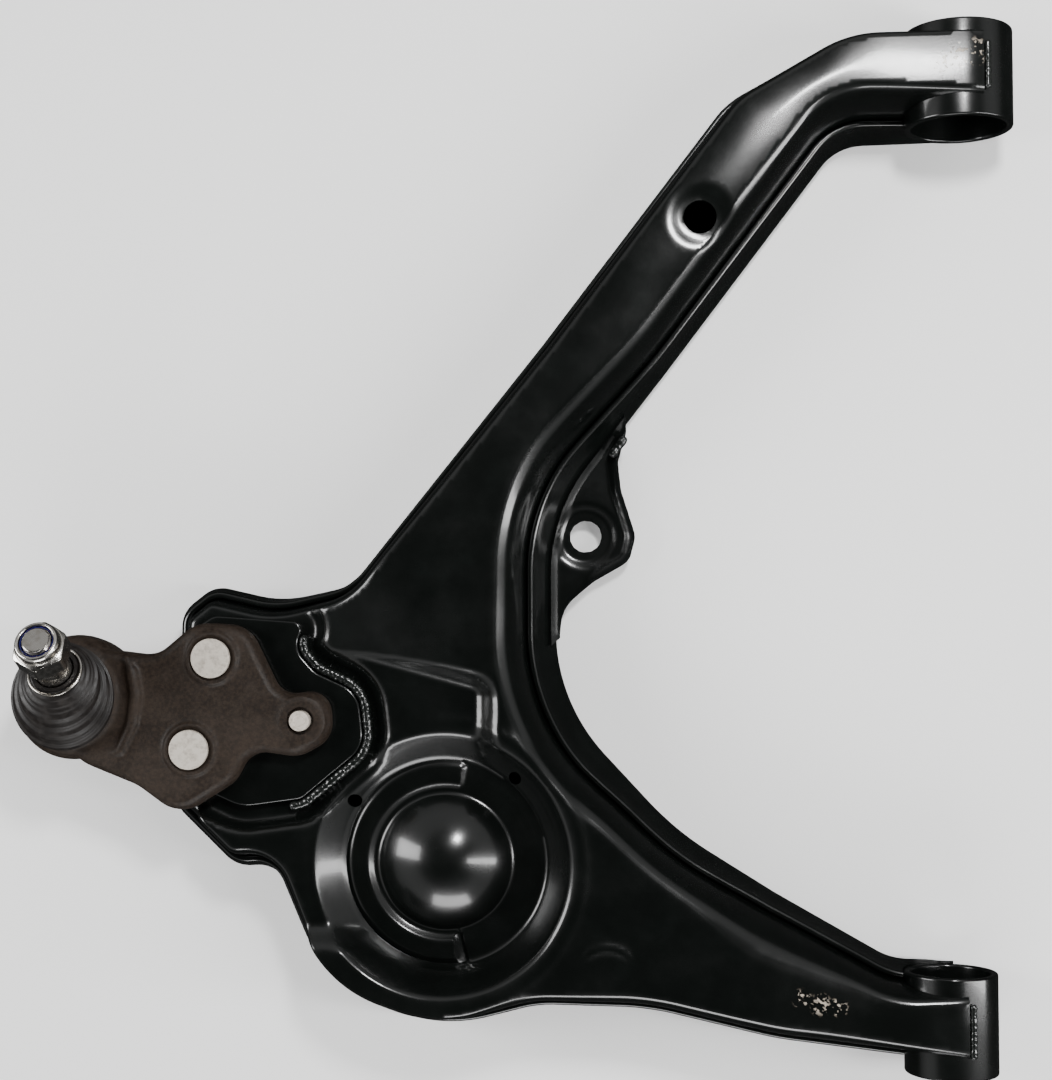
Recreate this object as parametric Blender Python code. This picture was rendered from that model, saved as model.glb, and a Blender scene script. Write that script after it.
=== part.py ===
"""Lower front control arm of a car, with its ball joint.

Sizes are millimetres in a working frame whose origin is the middle of the spring pan on the line where
the two pressed shells meet.  X runs from the ball joint to the bushes, Y along the car, Z up.  At the end
the whole assembly is moved so that the middle of its underside is at the world's origin, in metres.
"""
import math

import bmesh
import bpy
from mathutils import Matrix, Vector
from mathutils.geometry import delaunay_2d_cdt

MM = 0.001
GAP = 0.3
SHARP_DEG = 35.0

# Pressed shells
SHEET = 2.8
FRONT_SLEEVE_R = 24.5
REAR_SLEEVE_R = 20.75
SLEEVE_LENGTH = 44.5
SLEEVE_WALL = 3.2
FRONT_SLEEVE_X = 234.5
FRONT_SLEEVE_Y = 357.5
REAR_SLEEVE_X = 227.5
REAR_SLEEVE_Y = -69.0
CROWN_CUT = 0.3
FRONT_LAP = 8.0
REAR_LAP = 5.0
LOWER_LAP = 4.0
FLOOR_Z = -(FRONT_SLEEVE_R + GAP + SHEET - CROWN_CUT)
REAR_SLEEVE_Z = FLOOR_Z + SHEET - CROWN_CUT + GAP + REAR_SLEEVE_R
ARM_TOP_Z = 24.0
ARM_CROWN = 2.6
SLEEVE_CROWN = 0.8
FRONT_TOP_Z = -FLOOR_Z
REAR_TOP_Z = REAR_SLEEVE_Z + REAR_SLEEVE_R + GAP + SHEET - CROWN_CUT
LAP_Z = -3.0
UPPER_EDGE_Z = -6.0
LAP_GAP = 0.4
SHELL_LAP = SHEET + LAP_GAP + 0.4
NOSE_FLOOR_Z = -11.0
FLOOR_CORNER = 5.6
NOSE_RAMP_X = -66.0
NOSE_RAMP = 26.0

# Spring pan
PAN_RIM_R = 60.0
PAN_SEAT_R = 45.5
PAN_DOME_R = 33.0
PAN_SEAT_Z = 5.0
PAN_DOME_Z = 21.0
PAN_SIDE_Z = 15.0

# Ball joint stack on the nose, from the pad upwards
PAD_Z = 8.0
PAD_MARGIN = 5.6
PAD_STEP = 8.0
PLATE_T = 4.0
FLANGE_T = 10.0
RIVET_R = 5.0
RIVET_HEAD_R = 9.0
RIVET_HEAD_T = 3.0
PIN_R = 4.6
PIN_TAIL = 3.4

# Ball joint
BALL_X = -173.0
BALL_Y = 74.0
BALL_Z = 18.0
BALL_R = 14.0
CUP_R = 29.0
CAVITY_R = 18.0
NECK_R = 18.4
BOOT_WALL = 1.6
BOOT_BASE = 7.0
LEAN_DEG = 28.0
LEAN_HEADING_DEG = 88.0
TAPER_START = 25.0
TAPER_END = 40.5
TAPER_R = 8.6
THREAD_R = 7.0
STUD_END = 56.0
NUT_FLATS = 22.0
NUT_BASE = 41.0
NUT_HEIGHT = 14.5
NUT_SINK = 1.2

# Round hole in the top of the long arm
ARM_HOLE_X = 116.5
ARM_HOLE_Y = 291.3
ARM_HOLE_R = 7.5

# Link tab
TAB_T = 3.2
TAB_Z = -19.5
TAB_DISH = 1.6
TAB_HOLE_R = 7.5
TAB_HOLE_X = 62.3
TAB_HOLE_Y = 150.0

RIVET_SPOTS = ((-105.8, 92.3), (-115.4, 50.8))
PIN_SPOT = (-64.4, 64.2)

# Corners of the widest outline, anticlockwise: x, y, corner radius, width of the lower shell's side,
# width of the upper shell's side.
FRONT_END_X = FRONT_SLEEVE_X + FRONT_LAP + 24.0
REAR_END_X = REAR_SLEEVE_X + REAR_LAP + 28.0
HALF_SLEEVE = SLEEVE_LENGTH / 2.0
OUTLINE = (
    (-58.0, -60.5, 75.0, 2.0, 4.0),
    (-2.5, -79.5, 75.0, 2.0, 4.0),
    (42.0, -67.5, 55.0, 2.0, 6.0),
    (92.0, -68.0, 120.0, 2.0, 7.0),
    (150.0, -80.5, 150.0, 2.0, 7.0),
    (REAR_END_X, REAR_SLEEVE_Y - HALF_SLEEVE - 0.2, 21.0, 1.5, 5.0),
    (REAR_END_X, REAR_SLEEVE_Y + HALF_SLEEVE + 1.7, 21.0, 2.0, 5.0),
    (REAR_SLEEVE_X - 24.5, REAR_SLEEVE_Y + HALF_SLEEVE + 2.2, 30.0, 3.0, 7.0),
    (150.0, -15.2, 60.0, 4.0, 19.0),
    (104.5, 12.5, 140.0, 6.0, 11.0),
    (48.5, 72.0, 85.0, 9.0, 13.0),
    (48.0, 160.0, 80.0, 9.0, 12.0),
    (101.0, 228.5, 200.0, 4.0, 9.0),
    (FRONT_SLEEVE_X - 53.5, FRONT_SLEEVE_Y - HALF_SLEEVE - 0.7, 24.0, 4.0, 8.0),
    (FRONT_END_X, FRONT_SLEEVE_Y - HALF_SLEEVE + 0.8, 19.0, 1.5, 5.0),
    (FRONT_END_X, FRONT_SLEEVE_Y + HALF_SLEEVE + 1.2, 19.0, 1.5, 4.0),
    (FRONT_SLEEVE_X - 52.5, FRONT_SLEEVE_Y + HALF_SLEEVE + 2.8, 60.0, 2.0, 5.0),
    (127.0, 354.0, 42.0, 3.0, 6.0),
    (41.5, 240.0, 200.0, 2.0, 6.0),
    (-48.5, 127.0, 28.0, 2.0, 5.0),
    (-82.0, 119.5, 40.0, 2.0, 5.0),
    (-113.0, 126.5, 14.0, 2.0, 5.0),
    (-129.0, 114.0, 14.0, 2.0, 5.0),
    (-129.0, 100.0, 16.0, 2.0, 5.0),
    (-137.0, 82.0, 14.0, 2.0, 5.0),
    (-137.0, 46.0, 14.0, 2.0, 5.0),
    (-129.0, 21.0, 14.0, 2.0, 5.0),
    (-101.0, -5.5, 16.0, 2.0, 5.0),
    (-83.0, -4.0, 14.0, 2.0, 5.0),
)

# Corners of the seat plate, anticlockwise: x, y, corner radius.
SEAT_PLATE = (
    (-117.0, 34.0, 8.0),
    (-94.0, 24.0, 20.0),
    (-66.0, 28.0, 8.0),
    (-37.0, 52.0, 14.0),
    (-40.0, 77.0, 14.0),
    (-60.0, 86.0, 12.0),
    (-70.0, 97.0, 10.0),
    (-65.0, 109.0, 4.0),
    (-108.0, 112.0, 8.0),
    (-117.0, 106.0, 6.0),
)

# Corners of the housing's flange, anticlockwise: x, y, corner radius.
FLANGE = (
    (-176.0, 47.0, 20.0),
    (-141.0, 33.5, 20.0),
    (-121.0, 19.5, 16.0),
    (-95.0, 36.0, 16.0),
    (-88.0, 50.0, 12.0),
    (-66.0, 47.0, 16.0),
    (-50.0, 56.0, 13.0),
    (-52.0, 79.0, 13.0),
    (-74.0, 76.0, 10.0),
    (-90.0, 108.0, 16.0),
    (-115.0, 109.0, 16.0),
    (-133.0, 94.0, 14.0),
    (-176.0, 99.0, 20.0),
)

# Free edge of the link tab, going away from the shell and back: x, y, corner radius.
TAB_EDGE = (
    (81.5, 200.0, 1.0),
    (77.0, 186.0, 5.0),
    (78.5, 172.0, 20.0),
    (86.0, 143.0, 11.0),
    (67.0, 130.5, 24.0),
    (51.5, 116.0, 24.0),
    (50.2, 102.0, 1.0),
)


def clear_scene():
    for obj in list(bpy.data.objects):
        bpy.data.objects.remove(obj, do_unlink=True)


def material(name, colour, roughness, metallic):
    mat = bpy.data.materials.new(name)
    mat.use_nodes = True
    shader = mat.node_tree.nodes["Principled BSDF"]
    shader.inputs["Base Color"].default_value = (*colour, 1.0)
    shader.inputs["Roughness"].default_value = roughness
    shader.inputs["Metallic"].default_value = metallic
    return mat


def smooth(value):
    value = min(1.0, max(0.0, value))
    return value * value * (3.0 - 2.0 * value)


def lerp(a, b, t):
    return a + (b - a) * t


def rounded(corners, step_deg=18.0, longest=24.0, closed=True):
    """Points round a polygon whose corners carry (x, y, radius, extras...), with the extras blended."""
    count = len(corners)
    points = []
    for index, corner in enumerate(corners):
        here = Vector(corner[:2])
        extra = list(corner[3:])
        if not closed and index in (0, count - 1):
            points.append([*here, *extra])
            continue
        before = Vector(corners[index - 1][:2]) - here
        after = Vector(corners[(index + 1) % count][:2]) - here
        turn = before.angle(after)
        reach = min(corner[2] / math.tan(turn / 2.0), 0.49 * before.length, 0.49 * after.length)
        radius = reach * math.tan(turn / 2.0)
        middle = here + (before.normalized() + after.normalized()).normalized() * math.hypot(reach, radius)
        first = here + before.normalized() * reach - middle
        last = here + after.normalized() * reach - middle
        sweep = first.angle_signed(last)
        steps = max(2, math.ceil(math.degrees(abs(sweep)) / step_deg), math.ceil(abs(sweep) * radius / longest))
        for k in range(steps + 1):
            angle = -sweep * k / steps
            point = middle + Matrix.Rotation(angle, 2) @ first
            points.append([*point, *extra])
    out = []
    spans = len(points) if closed else len(points) - 1
    for index in range(spans):
        a = points[index]
        b = points[(index + 1) % len(points)]
        length = math.hypot(b[0] - a[0], b[1] - a[1])
        parts = max(1, math.ceil(length / longest))
        if length > 1e-6:
            out += [[lerp(p, q, k / parts) for p, q in zip(a, b)] for k in range(parts)]
    if not closed:
        out.append(points[-1])
    return out


def normals(points):
    """Unit normals of a closed anticlockwise loop, pointing into it."""
    result = []
    for index, point in enumerate(points):
        a = points[index - 1]
        b = points[(index + 1) % len(points)]
        along = Vector((b[0] - a[0], b[1] - a[1])).normalized()
        result.append(Vector((-along.y, along.x)))
    return result


def edge_distance(loop, x, y):
    """Distance from a closed loop of points, negative inside."""
    best = 1e9
    inside = False
    for index, a in enumerate(loop):
        b = loop[index - 1]
        dx, dy = b[0] - a[0], b[1] - a[1]
        t = min(1.0, max(0.0, ((x - a[0]) * dx + (y - a[1]) * dy) / (dx * dx + dy * dy + 1e-12)))
        best = min(best, math.hypot(x - a[0] - t * dx, y - a[1] - t * dy))
        if (a[1] > y) != (b[1] > y) and x < (b[0] - a[0]) * (y - a[1]) / (b[1] - a[1]) + a[0]:
            inside = not inside
    return -best if inside else best


def circle(x, y, radius, count):
    return [(x + radius * math.cos(math.tau * k / count), y + radius * math.sin(math.tau * k / count))
            for k in range(count)]


def new_object(name, bm, mat, facing=0.0):
    """Make an object from a mesh.  An open sheet states whether it faces up (1) or down (-1)."""
    mesh = bpy.data.meshes.new(name)
    bmesh.ops.recalc_face_normals(bm, faces=bm.faces)
    if facing * sum(face.normal.z * face.calc_area() for face in bm.faces) < 0.0:
        bmesh.ops.reverse_faces(bm, faces=bm.faces)
    bm.to_mesh(mesh)
    bm.free()
    mesh.transform(Matrix.Scale(MM, 4))
    obj = bpy.data.objects.new(name, mesh)
    bpy.context.collection.objects.link(obj)
    mesh.materials.append(mat)
    for polygon in mesh.polygons:
        polygon.use_smooth = True
    mesh.set_sharp_from_angle(angle=math.radians(SHARP_DEG))
    return obj


def loft(rings, closed=False, caps=True):
    """Skin rings of points, all with the same count, into one mesh."""
    bm = bmesh.new()
    rows = [[bm.verts.new(p) for p in ring] for ring in rings]
    pairs = list(zip(rows, rows[1:]))
    if closed:
        pairs.append((rows[-1], rows[0]))
    for a, b in pairs:
        for k in range(len(a)):
            bm.faces.new((a[k - 1], a[k], b[k], b[k - 1]))
    if caps and not closed:
        bm.faces.new(rows[0])
        bm.faces.new(rows[-1])
    return bm


def turned(profile, count, centre=(0.0, 0.0, 0.0), closed=False):
    """Turn (radius, height) points round Z.  A closed profile makes a ring."""
    rings = []
    for radius, height in profile:
        rings.append([(centre[0] + x, centre[1] + y, centre[2] + height)
                      for x, y in circle(0.0, 0.0, max(radius, 0.01), count)])
    return loft(rings, closed=closed)


def cutter(name, bm):
    obj = new_object(name, bm, SPARE)
    obj.hide_render = True
    obj.display_type = "WIRE"
    return obj


def boolean(obj, tools, operation="DIFFERENCE"):
    for tool in tools:
        modifier = obj.modifiers.new(tool.name, "BOOLEAN")
        modifier.operation = operation
        modifier.solver = "EXACT"
        modifier.object = tool


def apply_modifiers(obj, tools=()):
    bpy.context.view_layer.update()
    graph = bpy.context.evaluated_depsgraph_get()
    mesh = bpy.data.meshes.new_from_object(obj.evaluated_get(graph))
    obj.modifiers.clear()
    obj.data = mesh
    for tool in tools:
        bpy.data.objects.remove(tool, do_unlink=True)


def cylinder(x, y, low, high, radius, count=28):
    return turned(((radius, low), (radius, high)), count, (x, y, 0.0))


def along_y(x, z, y_low, y_high, radius, count=48):
    ring = circle(0.0, 0.0, radius, count)
    return loft([[(x + a, y, z + b) for a, b in ring] for y in (y_low, y_high)])


# ---------------------------------------------------------------- pressed shells

def sleeve_blend(x, y):
    """How far a point is along the long arm and along the short arm, each 0 to 1."""
    return smooth((y - 230.0) / 100.0), smooth((x - 120.0) / 80.0) * (1.0 if y < 60.0 else 0.0)


def nose_blend(x):
    return smooth((NOSE_RAMP_X - x) / NOSE_RAMP)


def floor_height(x, _):
    return lerp(FLOOR_Z, NOSE_FLOOR_Z, nose_blend(x))


def crown_drop(x, y):
    """How far the arms' tops fall away from their middle line, and less over the sleeves."""
    _, rear = sleeve_blend(x, y)
    arm = max(smooth((y - 120.0) / 60.0), rear)
    depth = lerp(ARM_CROWN, SLEEVE_CROWN, smooth((x - FRONT_SLEEVE_X + 75.0) / 45.0))
    inside = max(0.0, -edge_distance(OUTLINE_LOOP, x, y) - 8.0)
    return arm * depth * (1.0 - min(1.0, inside / 19.0)) ** 2


def top_height(x, y):
    """Height of the upper shell's outer face away from its rounded edge."""
    front, rear = sleeve_blend(x, y)
    z = lerp(ARM_TOP_Z, FRONT_TOP_Z, front)
    z = lerp(z, REAR_TOP_Z, rear)
    z -= crown_drop(x, y)
    # The long arm's raised top ends in a step beside the spring pan and slopes away towards the nose.
    step = smooth((-0.26 * (x + 2.0) - 0.966 * (y - 93.0)) / 11.0)
    slope = smooth((-0.788 * (x + 2.0) - 0.615 * (y - 93.0) + 12.0) / 58.0)
    z = lerp(z, PAN_SIDE_Z, max(step, slope) * smooth(min(27.0 - x, y + 40.0) / 13.0))
    z = lerp(z, PAD_Z, smooth((PAD_MARGIN + PAD_STEP - edge_distance(PLATE_LOOP, x, y)) / PAD_STEP))
    z = lerp(z, PAD_Z, smooth((-112.0 - x) / 5.0))
    radius = math.hypot(x, y)
    if radius < PAN_RIM_R:
        wall = smooth((radius - PAN_SEAT_R) / (PAN_RIM_R - PAN_SEAT_R))
        z = lerp(PAN_SEAT_Z, z, wall)
        z += (PAN_DOME_Z - PAN_SEAT_Z) * max(0.0, 1.0 - (radius / PAN_DOME_R) ** 2)
    # Over a sleeve the tongue bends round it as far as its cut end.
    if y > 300.0 and x > FRONT_SLEEVE_X:
        across = min(x - FRONT_SLEEVE_X, FRONT_LAP + 4.0)
        z -= FRONT_TOP_Z - math.sqrt(FRONT_TOP_Z ** 2 - across ** 2)
    if y < 0.0 and x > REAR_SLEEVE_X:
        across = min(x - REAR_SLEEVE_X, REAR_LAP + 4.0)
        crown = REAR_TOP_Z - REAR_SLEEVE_Z
        z -= crown - math.sqrt(crown ** 2 - across ** 2)
    return z


def pan_loops():
    radii = (PAN_RIM_R, 55.5, 50.5, PAN_SEAT_R, PAN_DOME_R, 27.0, 20.0, 10.0)
    return [circle(0.0, 0.0, r, 32) for r in radii]


def grid_points(loop, spacing, clear):
    xs = [p[0] for p in loop]
    ys = [p[1] for p in loop]
    points = []
    rows = int((max(ys) - min(ys)) / (spacing * 0.87))
    for j in range(rows + 1):
        y = min(ys) + j * spacing * 0.87
        for i in range(int((max(xs) - min(xs)) / spacing) + 1):
            x = min(xs) + (i + 0.5 * (j % 2)) * spacing
            if edge_distance(loop, x, y) < -clear:
                points.append((x, y))
    return points


def fill(loop, inner_loops, points):
    """Triangles that fill a loop, using the inner loops and loose points."""
    coords = [Vector(p[:2]) for p in loop]
    edges = [(k, (k + 1) % len(loop)) for k in range(len(loop))]
    for inner in inner_loops:
        start = len(coords)
        coords += [Vector(p[:2]) for p in inner]
        edges += [(start + k, start + (k + 1) % len(inner)) for k in range(len(inner))]
    coords += [Vector(p) for p in points]
    verts, _, faces, origins, _, _ = delaunay_2d_cdt(coords, edges, [], 1, 1e-4)
    return verts, faces, origins


def pressed_sheet(outer_rings, inner_rings, height, inner_height, inner_loops, points):
    """A closed pressed shell: two skins of rings, each filled by a surface, joined round the free edge."""
    bm = bmesh.new()
    skins = []
    for rings, surface in ((outer_rings, height), (inner_rings, inner_height)):
        rows = [[bm.verts.new(p) for p in ring] for ring in rings]
        for a, b in zip(rows, rows[1:]):
            join_rows(bm, a, b)
        fill_loop(bm, rows[-1], rings[-1], surface, inner_loops, points)
        skins.append(rows[0])
    join_rows(bm, *skins)
    return bm


def join_rows(bm, a, b):
    for k in range(len(a)):
        bm.faces.new((a[k - 1], a[k], b[k], b[k - 1]))


def fill_loop(bm, row, ring, height, inner_loops, points):
    verts, faces, origins = fill(ring, inner_loops, points)
    made = []
    for vert, source in zip(verts, origins):
        edge = [k for k in source if k < len(row)]
        made.append(row[edge[0]] if edge else bm.verts.new((vert.x, vert.y, height(vert.x, vert.y))))
    for face in faces:
        corner = [made[k] for k in face]
        if len(set(corner)) == 3:
            bm.faces.new(corner)


def inset_ring(distance, height):
    ring = []
    for point, normal in zip(OUTLINE_LOOP, OUTLINE_NORMALS):
        away = distance(point)
        x = point[0] + normal.x * away
        y = point[1] + normal.y * away
        ring.append((x, y, height(x, y)))
    return ring


def thicken(obj, thickness, side):
    modifier = obj.modifiers.new("sheet", "SOLIDIFY")
    modifier.thickness = thickness * MM
    modifier.offset = side
    modifier.use_even_offset = True
    modifier.use_rim = True


def away_from_pan(points, radius):
    return [p for p in points if math.hypot(*p) > radius]


def under_top(x, y):
    """The upper shell's inner face, one sheet thickness under its outer face."""
    step = 0.6
    rise_x = (top_height(x + step, y) - top_height(x - step, y)) / (2.0 * step)
    rise_y = (top_height(x, y + step) - top_height(x, y - step)) / (2.0 * step)
    return top_height(x, y) - SHEET * min(1.6, math.hypot(1.0, rise_x, rise_y))


def make_upper_shell():
    wall = SHEET * 1.04
    outer_profile = ((0.0, 0.0), (0.10, 0.32), (0.26, 0.63), (0.50, 0.86), (0.76, 0.965), (1.0, 1.0))
    inner_profile = ((0.0, 0.0), (0.08, 0.32), (0.22, 0.62), (0.45, 0.84), (0.72, 0.955), (1.0, 1.0))
    outer = [inset_ring(lambda p, s=across: p[2] + SHELL_LAP + p[3] * s,
                        lambda x, y, v=up: lerp(UPPER_EDGE_Z, top_height(x, y), v))
             for across, up in outer_profile]
    inner = [inset_ring(lambda p, s=across: p[2] + SHELL_LAP + lerp(wall, p[3], s),
                        lambda x, y, v=up: lerp(UPPER_EDGE_Z, under_top(x, y), v))
             for across, up in inner_profile]
    steps = (PAD_MARGIN - 0.3, PAD_MARGIN + 4.0, PAD_MARGIN + PAD_STEP)
    step = [(p[0] - n.x * away, p[1] - n.y * away)
            for p, n in zip(PLATE_LOOP, normals(PLATE_LOOP)) for away in steps]
    step = [p for p in step if edge_distance(outer[-1], *p) < -2.5]
    loose = [p for p in grid_points(outer[-1], 14.0, 5.5)
             if min(math.hypot(p[0] - q[0], p[1] - q[1]) for q in step) > 5.0]
    loose = away_from_pan(loose, PAN_RIM_R + 5.0) + away_from_pan(step, PAN_RIM_R + 1.5)
    bm = pressed_sheet(outer, inner, top_height, under_top, pan_loops(), loose)
    obj = new_object("upper_shell", bm, BLACK)
    long_y = (FRONT_SLEEVE_Y - SLEEVE_LENGTH, FRONT_SLEEVE_Y + SLEEVE_LENGTH)
    rear_y = (REAR_SLEEVE_Y - SLEEVE_LENGTH, REAR_SLEEVE_Y + SLEEVE_LENGTH)
    tools = [
        cutter("cut_front_sleeve", along_y(FRONT_SLEEVE_X, 0.0, *long_y, FRONT_SLEEVE_R + GAP)),
        cutter("cut_rear_sleeve", along_y(REAR_SLEEVE_X, REAR_SLEEVE_Z, *rear_y, REAR_SLEEVE_R + GAP)),
        cutter("cut_front_end", box(FRONT_SLEEVE_X + FRONT_LAP, FRONT_SLEEVE_X + 90.0, 300.0, 420.0, -60.0, 60.0)),
        cutter("cut_rear_end", box(REAR_SLEEVE_X + REAR_LAP, REAR_SLEEVE_X + 90.0, -130.0, 0.0, -60.0, 60.0)),
    ]
    for x, y in RIVET_SPOTS:
        tools.append(cutter("cut_rivet", cylinder(x, y, -5.0, 20.0, RIVET_R + GAP)))
    tools.append(cutter("cut_pin", cylinder(*PIN_SPOT, -5.0, 20.0, PIN_R + GAP)))
    tools.append(cutter("cut_arm_hole", cylinder(ARM_HOLE_X, ARM_HOLE_Y, 10.0, 40.0, ARM_HOLE_R)))
    for angle, radius in ((147.0, 50.0), (50.0, 50.0)):
        spot = math.radians(angle)
        tools.append(cutter("cut_drain", cylinder(radius * math.cos(spot), radius * math.sin(spot),
                                                  -10.0, 30.0, 3.0, 20)))
    boolean(obj, tools)
    apply_modifiers(obj, tools)
    return obj


def box(x_low, x_high, y_low, y_high, z_low, z_high):
    ring = ((x_low, y_low), (x_high, y_low), (x_high, y_high), (x_low, y_high))
    return loft([[(x, y, z) for x, y in ring] for z in (z_low, z_high)])


def make_lower_shell():
    wall = SHEET * 1.1

    def above_floor(lift):
        return lambda x, y: floor_height(x, y) + lift * (LAP_Z - floor_height(x, y)) / (LAP_Z - FLOOR_Z)

    outer = [inset_ring(lambda p: p[2], lambda x, y: LAP_Z)]
    for inset, lift in ((0.0, FLOOR_CORNER), (1.2, 1.8), (FLOOR_CORNER, 0.0)):
        outer.append(inset_ring(lambda p, s=inset: s, above_floor(lift)))
    inner = [inset_ring(lambda p: p[2] + wall, lambda x, y: LAP_Z)]
    for inset, lift in ((wall + 0.3, 3.0), (FLOOR_CORNER, 0.0)):
        inner.append(inset_ring(lambda p, s=inset: s, lambda x, y, f=above_floor(lift): f(x, y) + SHEET))
    ramp = [(NOSE_RAMP_X - NOSE_RAMP * k / 4.0, y * 13.0) for k in range(5) for y in range(-4, 10)]
    ramp = [p for p in ramp if edge_distance(outer[-1], *p) < -3.0]
    loose = ramp + [p for p in grid_points(outer[-1], 26.0, 9.0)
                    if p[0] > NOSE_RAMP_X + 8.0 or p[0] < NOSE_RAMP_X - NOSE_RAMP - 8.0]
    bm = pressed_sheet(outer, inner, floor_height, lambda x, y: floor_height(x, y) + SHEET, [], loose)
    obj = new_object("lower_shell", bm, BLACK)
    long_y = (FRONT_SLEEVE_Y - SLEEVE_LENGTH, FRONT_SLEEVE_Y + SLEEVE_LENGTH)
    rear_y = (REAR_SLEEVE_Y - SLEEVE_LENGTH, REAR_SLEEVE_Y + SLEEVE_LENGTH)
    tools = [
        cutter("cut_front_sleeve", along_y(FRONT_SLEEVE_X, 0.0, *long_y, FRONT_SLEEVE_R + GAP)),
        cutter("cut_rear_sleeve", along_y(REAR_SLEEVE_X, REAR_SLEEVE_Z, *rear_y, REAR_SLEEVE_R + GAP)),
        cutter("cut_front_end", box(FRONT_SLEEVE_X + LOWER_LAP, FRONT_SLEEVE_X + 90.0, 300.0, 420.0, -60.0, 60.0)),
        cutter("cut_rear_end", box(REAR_SLEEVE_X + LOWER_LAP, REAR_SLEEVE_X + 90.0, -130.0, 0.0, -60.0, 60.0)),
    ]
    for x, y in RIVET_SPOTS:
        tools.append(cutter("cut_rivet", cylinder(x, y, -30.0, 0.0, RIVET_R + GAP)))
    tools.append(cutter("cut_pin", cylinder(*PIN_SPOT, -40.0, 0.0, 9.0)))
    boolean(obj, tools)
    apply_modifiers(obj, tools)
    return obj


def make_sleeve(name, x, y, z, radius):
    inner = radius - SLEEVE_WALL
    half = SLEEVE_LENGTH / 2.0
    edge = 0.8
    profile = ((inner, half - edge), (inner + edge, half), (radius - edge, half), (radius, half - edge),
               (radius, edge - half), (radius - edge, -half), (inner + edge, -half), (inner, edge - half))
    rings = []
    for r, along in profile:
        rings.append([(x + a, y + along, z + b) for a, b in circle(0.0, 0.0, r, 48)])
    return new_object(name, loft(rings, closed=True), BLACK)


def make_link_tab():
    start, end = TAB_EDGE[0], TAB_EDGE[-1]
    root = [(p[0] - 0.6 * n.x, p[1] - 0.6 * n.y) for p, n in zip(OUTLINE_LOOP, OUTLINE_NORMALS)
            if end[1] + 2.0 < p[1] < 198.0 and 30.0 < p[0] < 90.0]
    root.sort(key=lambda p: p[1])
    free = [(p[0], p[1]) for p in rounded(TAB_EDGE, 18.0, 12.0, closed=False)]
    loop = root + free
    hole = circle(TAB_HOLE_X, TAB_HOLE_Y, TAB_HOLE_R, 24)
    ring = circle(TAB_HOLE_X, TAB_HOLE_Y, TAB_HOLE_R + 4.0, 24)

    def height(x, y):
        rim = smooth((4.0 + edge_distance(loop, x, y)) / 4.0) * smooth((x - 60.0) / 14.0)
        dish = smooth((TAB_HOLE_R + 9.0 - math.hypot(x - TAB_HOLE_X, y - TAB_HOLE_Y)) / 5.0)
        return TAB_Z + 2.0 * rim - TAB_DISH * dish

    loose = [p for p in grid_points(loop, 6.0, 2.5)
             if math.hypot(p[0] - TAB_HOLE_X, p[1] - TAB_HOLE_Y) > TAB_HOLE_R + 6.0]
    verts, faces, _ = fill(loop, [hole, ring], loose)
    bm = bmesh.new()
    made = [bm.verts.new((v.x, v.y, height(v.x, v.y))) for v in verts]
    for face in faces:
        middle = sum((verts[k] for k in face), Vector((0.0, 0.0))) / 3.0
        if math.hypot(middle.x - TAB_HOLE_X, middle.y - TAB_HOLE_Y) > TAB_HOLE_R * 0.97:
            bm.faces.new([made[k] for k in face])
    for vert in [v for v in bm.verts if not v.link_faces]:
        bm.verts.remove(vert)
    obj = new_object("link_tab", bm, BLACK, facing=1.0)
    thicken(obj, TAB_T, 0.0)
    apply_modifiers(obj)


def make_seat_plate():
    low = PAD_Z + GAP
    rings = []
    for away, up in ((0.0, 0.0), (0.0, 0.75), (0.9, 1.0)):
        ring = []
        for point, normal in zip(PLATE_LOOP, normals(PLATE_LOOP)):
            ring.append((point[0] + normal.x * away, point[1] + normal.y * away, low + up * PLATE_T))
        rings.append(ring)
    obj = new_object("ball_joint_seat_plate", loft(rings), BLACK)
    tools = [cutter("cut_rivet", cylinder(x, y, 0.0, 20.0, RIVET_R + GAP)) for x, y in RIVET_SPOTS]
    tools.append(cutter("cut_pin", cylinder(*PIN_SPOT, 0.0, 20.0, PIN_R + GAP)))
    boolean(obj, tools)
    apply_modifiers(obj, tools)
    return obj


def swept(name, path, radius, mat, count=8):
    """A rod along a path, with rounded ends, used for weld beads."""
    rings = []
    last = len(path) - 1
    for index, point in enumerate(path):
        here = Vector(point)
        along = (Vector(path[min(index + 1, last)]) - Vector(path[max(index - 1, 0)])).normalized()
        side = along.cross(Vector((0.0, 0.0, 1.0)))
        side = side.normalized() if side.length > 0.05 else Vector((1.0, 0.0, 0.0))
        up = side.cross(along)
        size = radius * (0.55 if index in (0, last) else 1.0)
        rings.append([tuple(here + side * (a * size) + up * (b * size))
                      for a, b in circle(0.0, 0.0, 1.0, count)])
    return new_object(name, loft(rings), mat)


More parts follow.
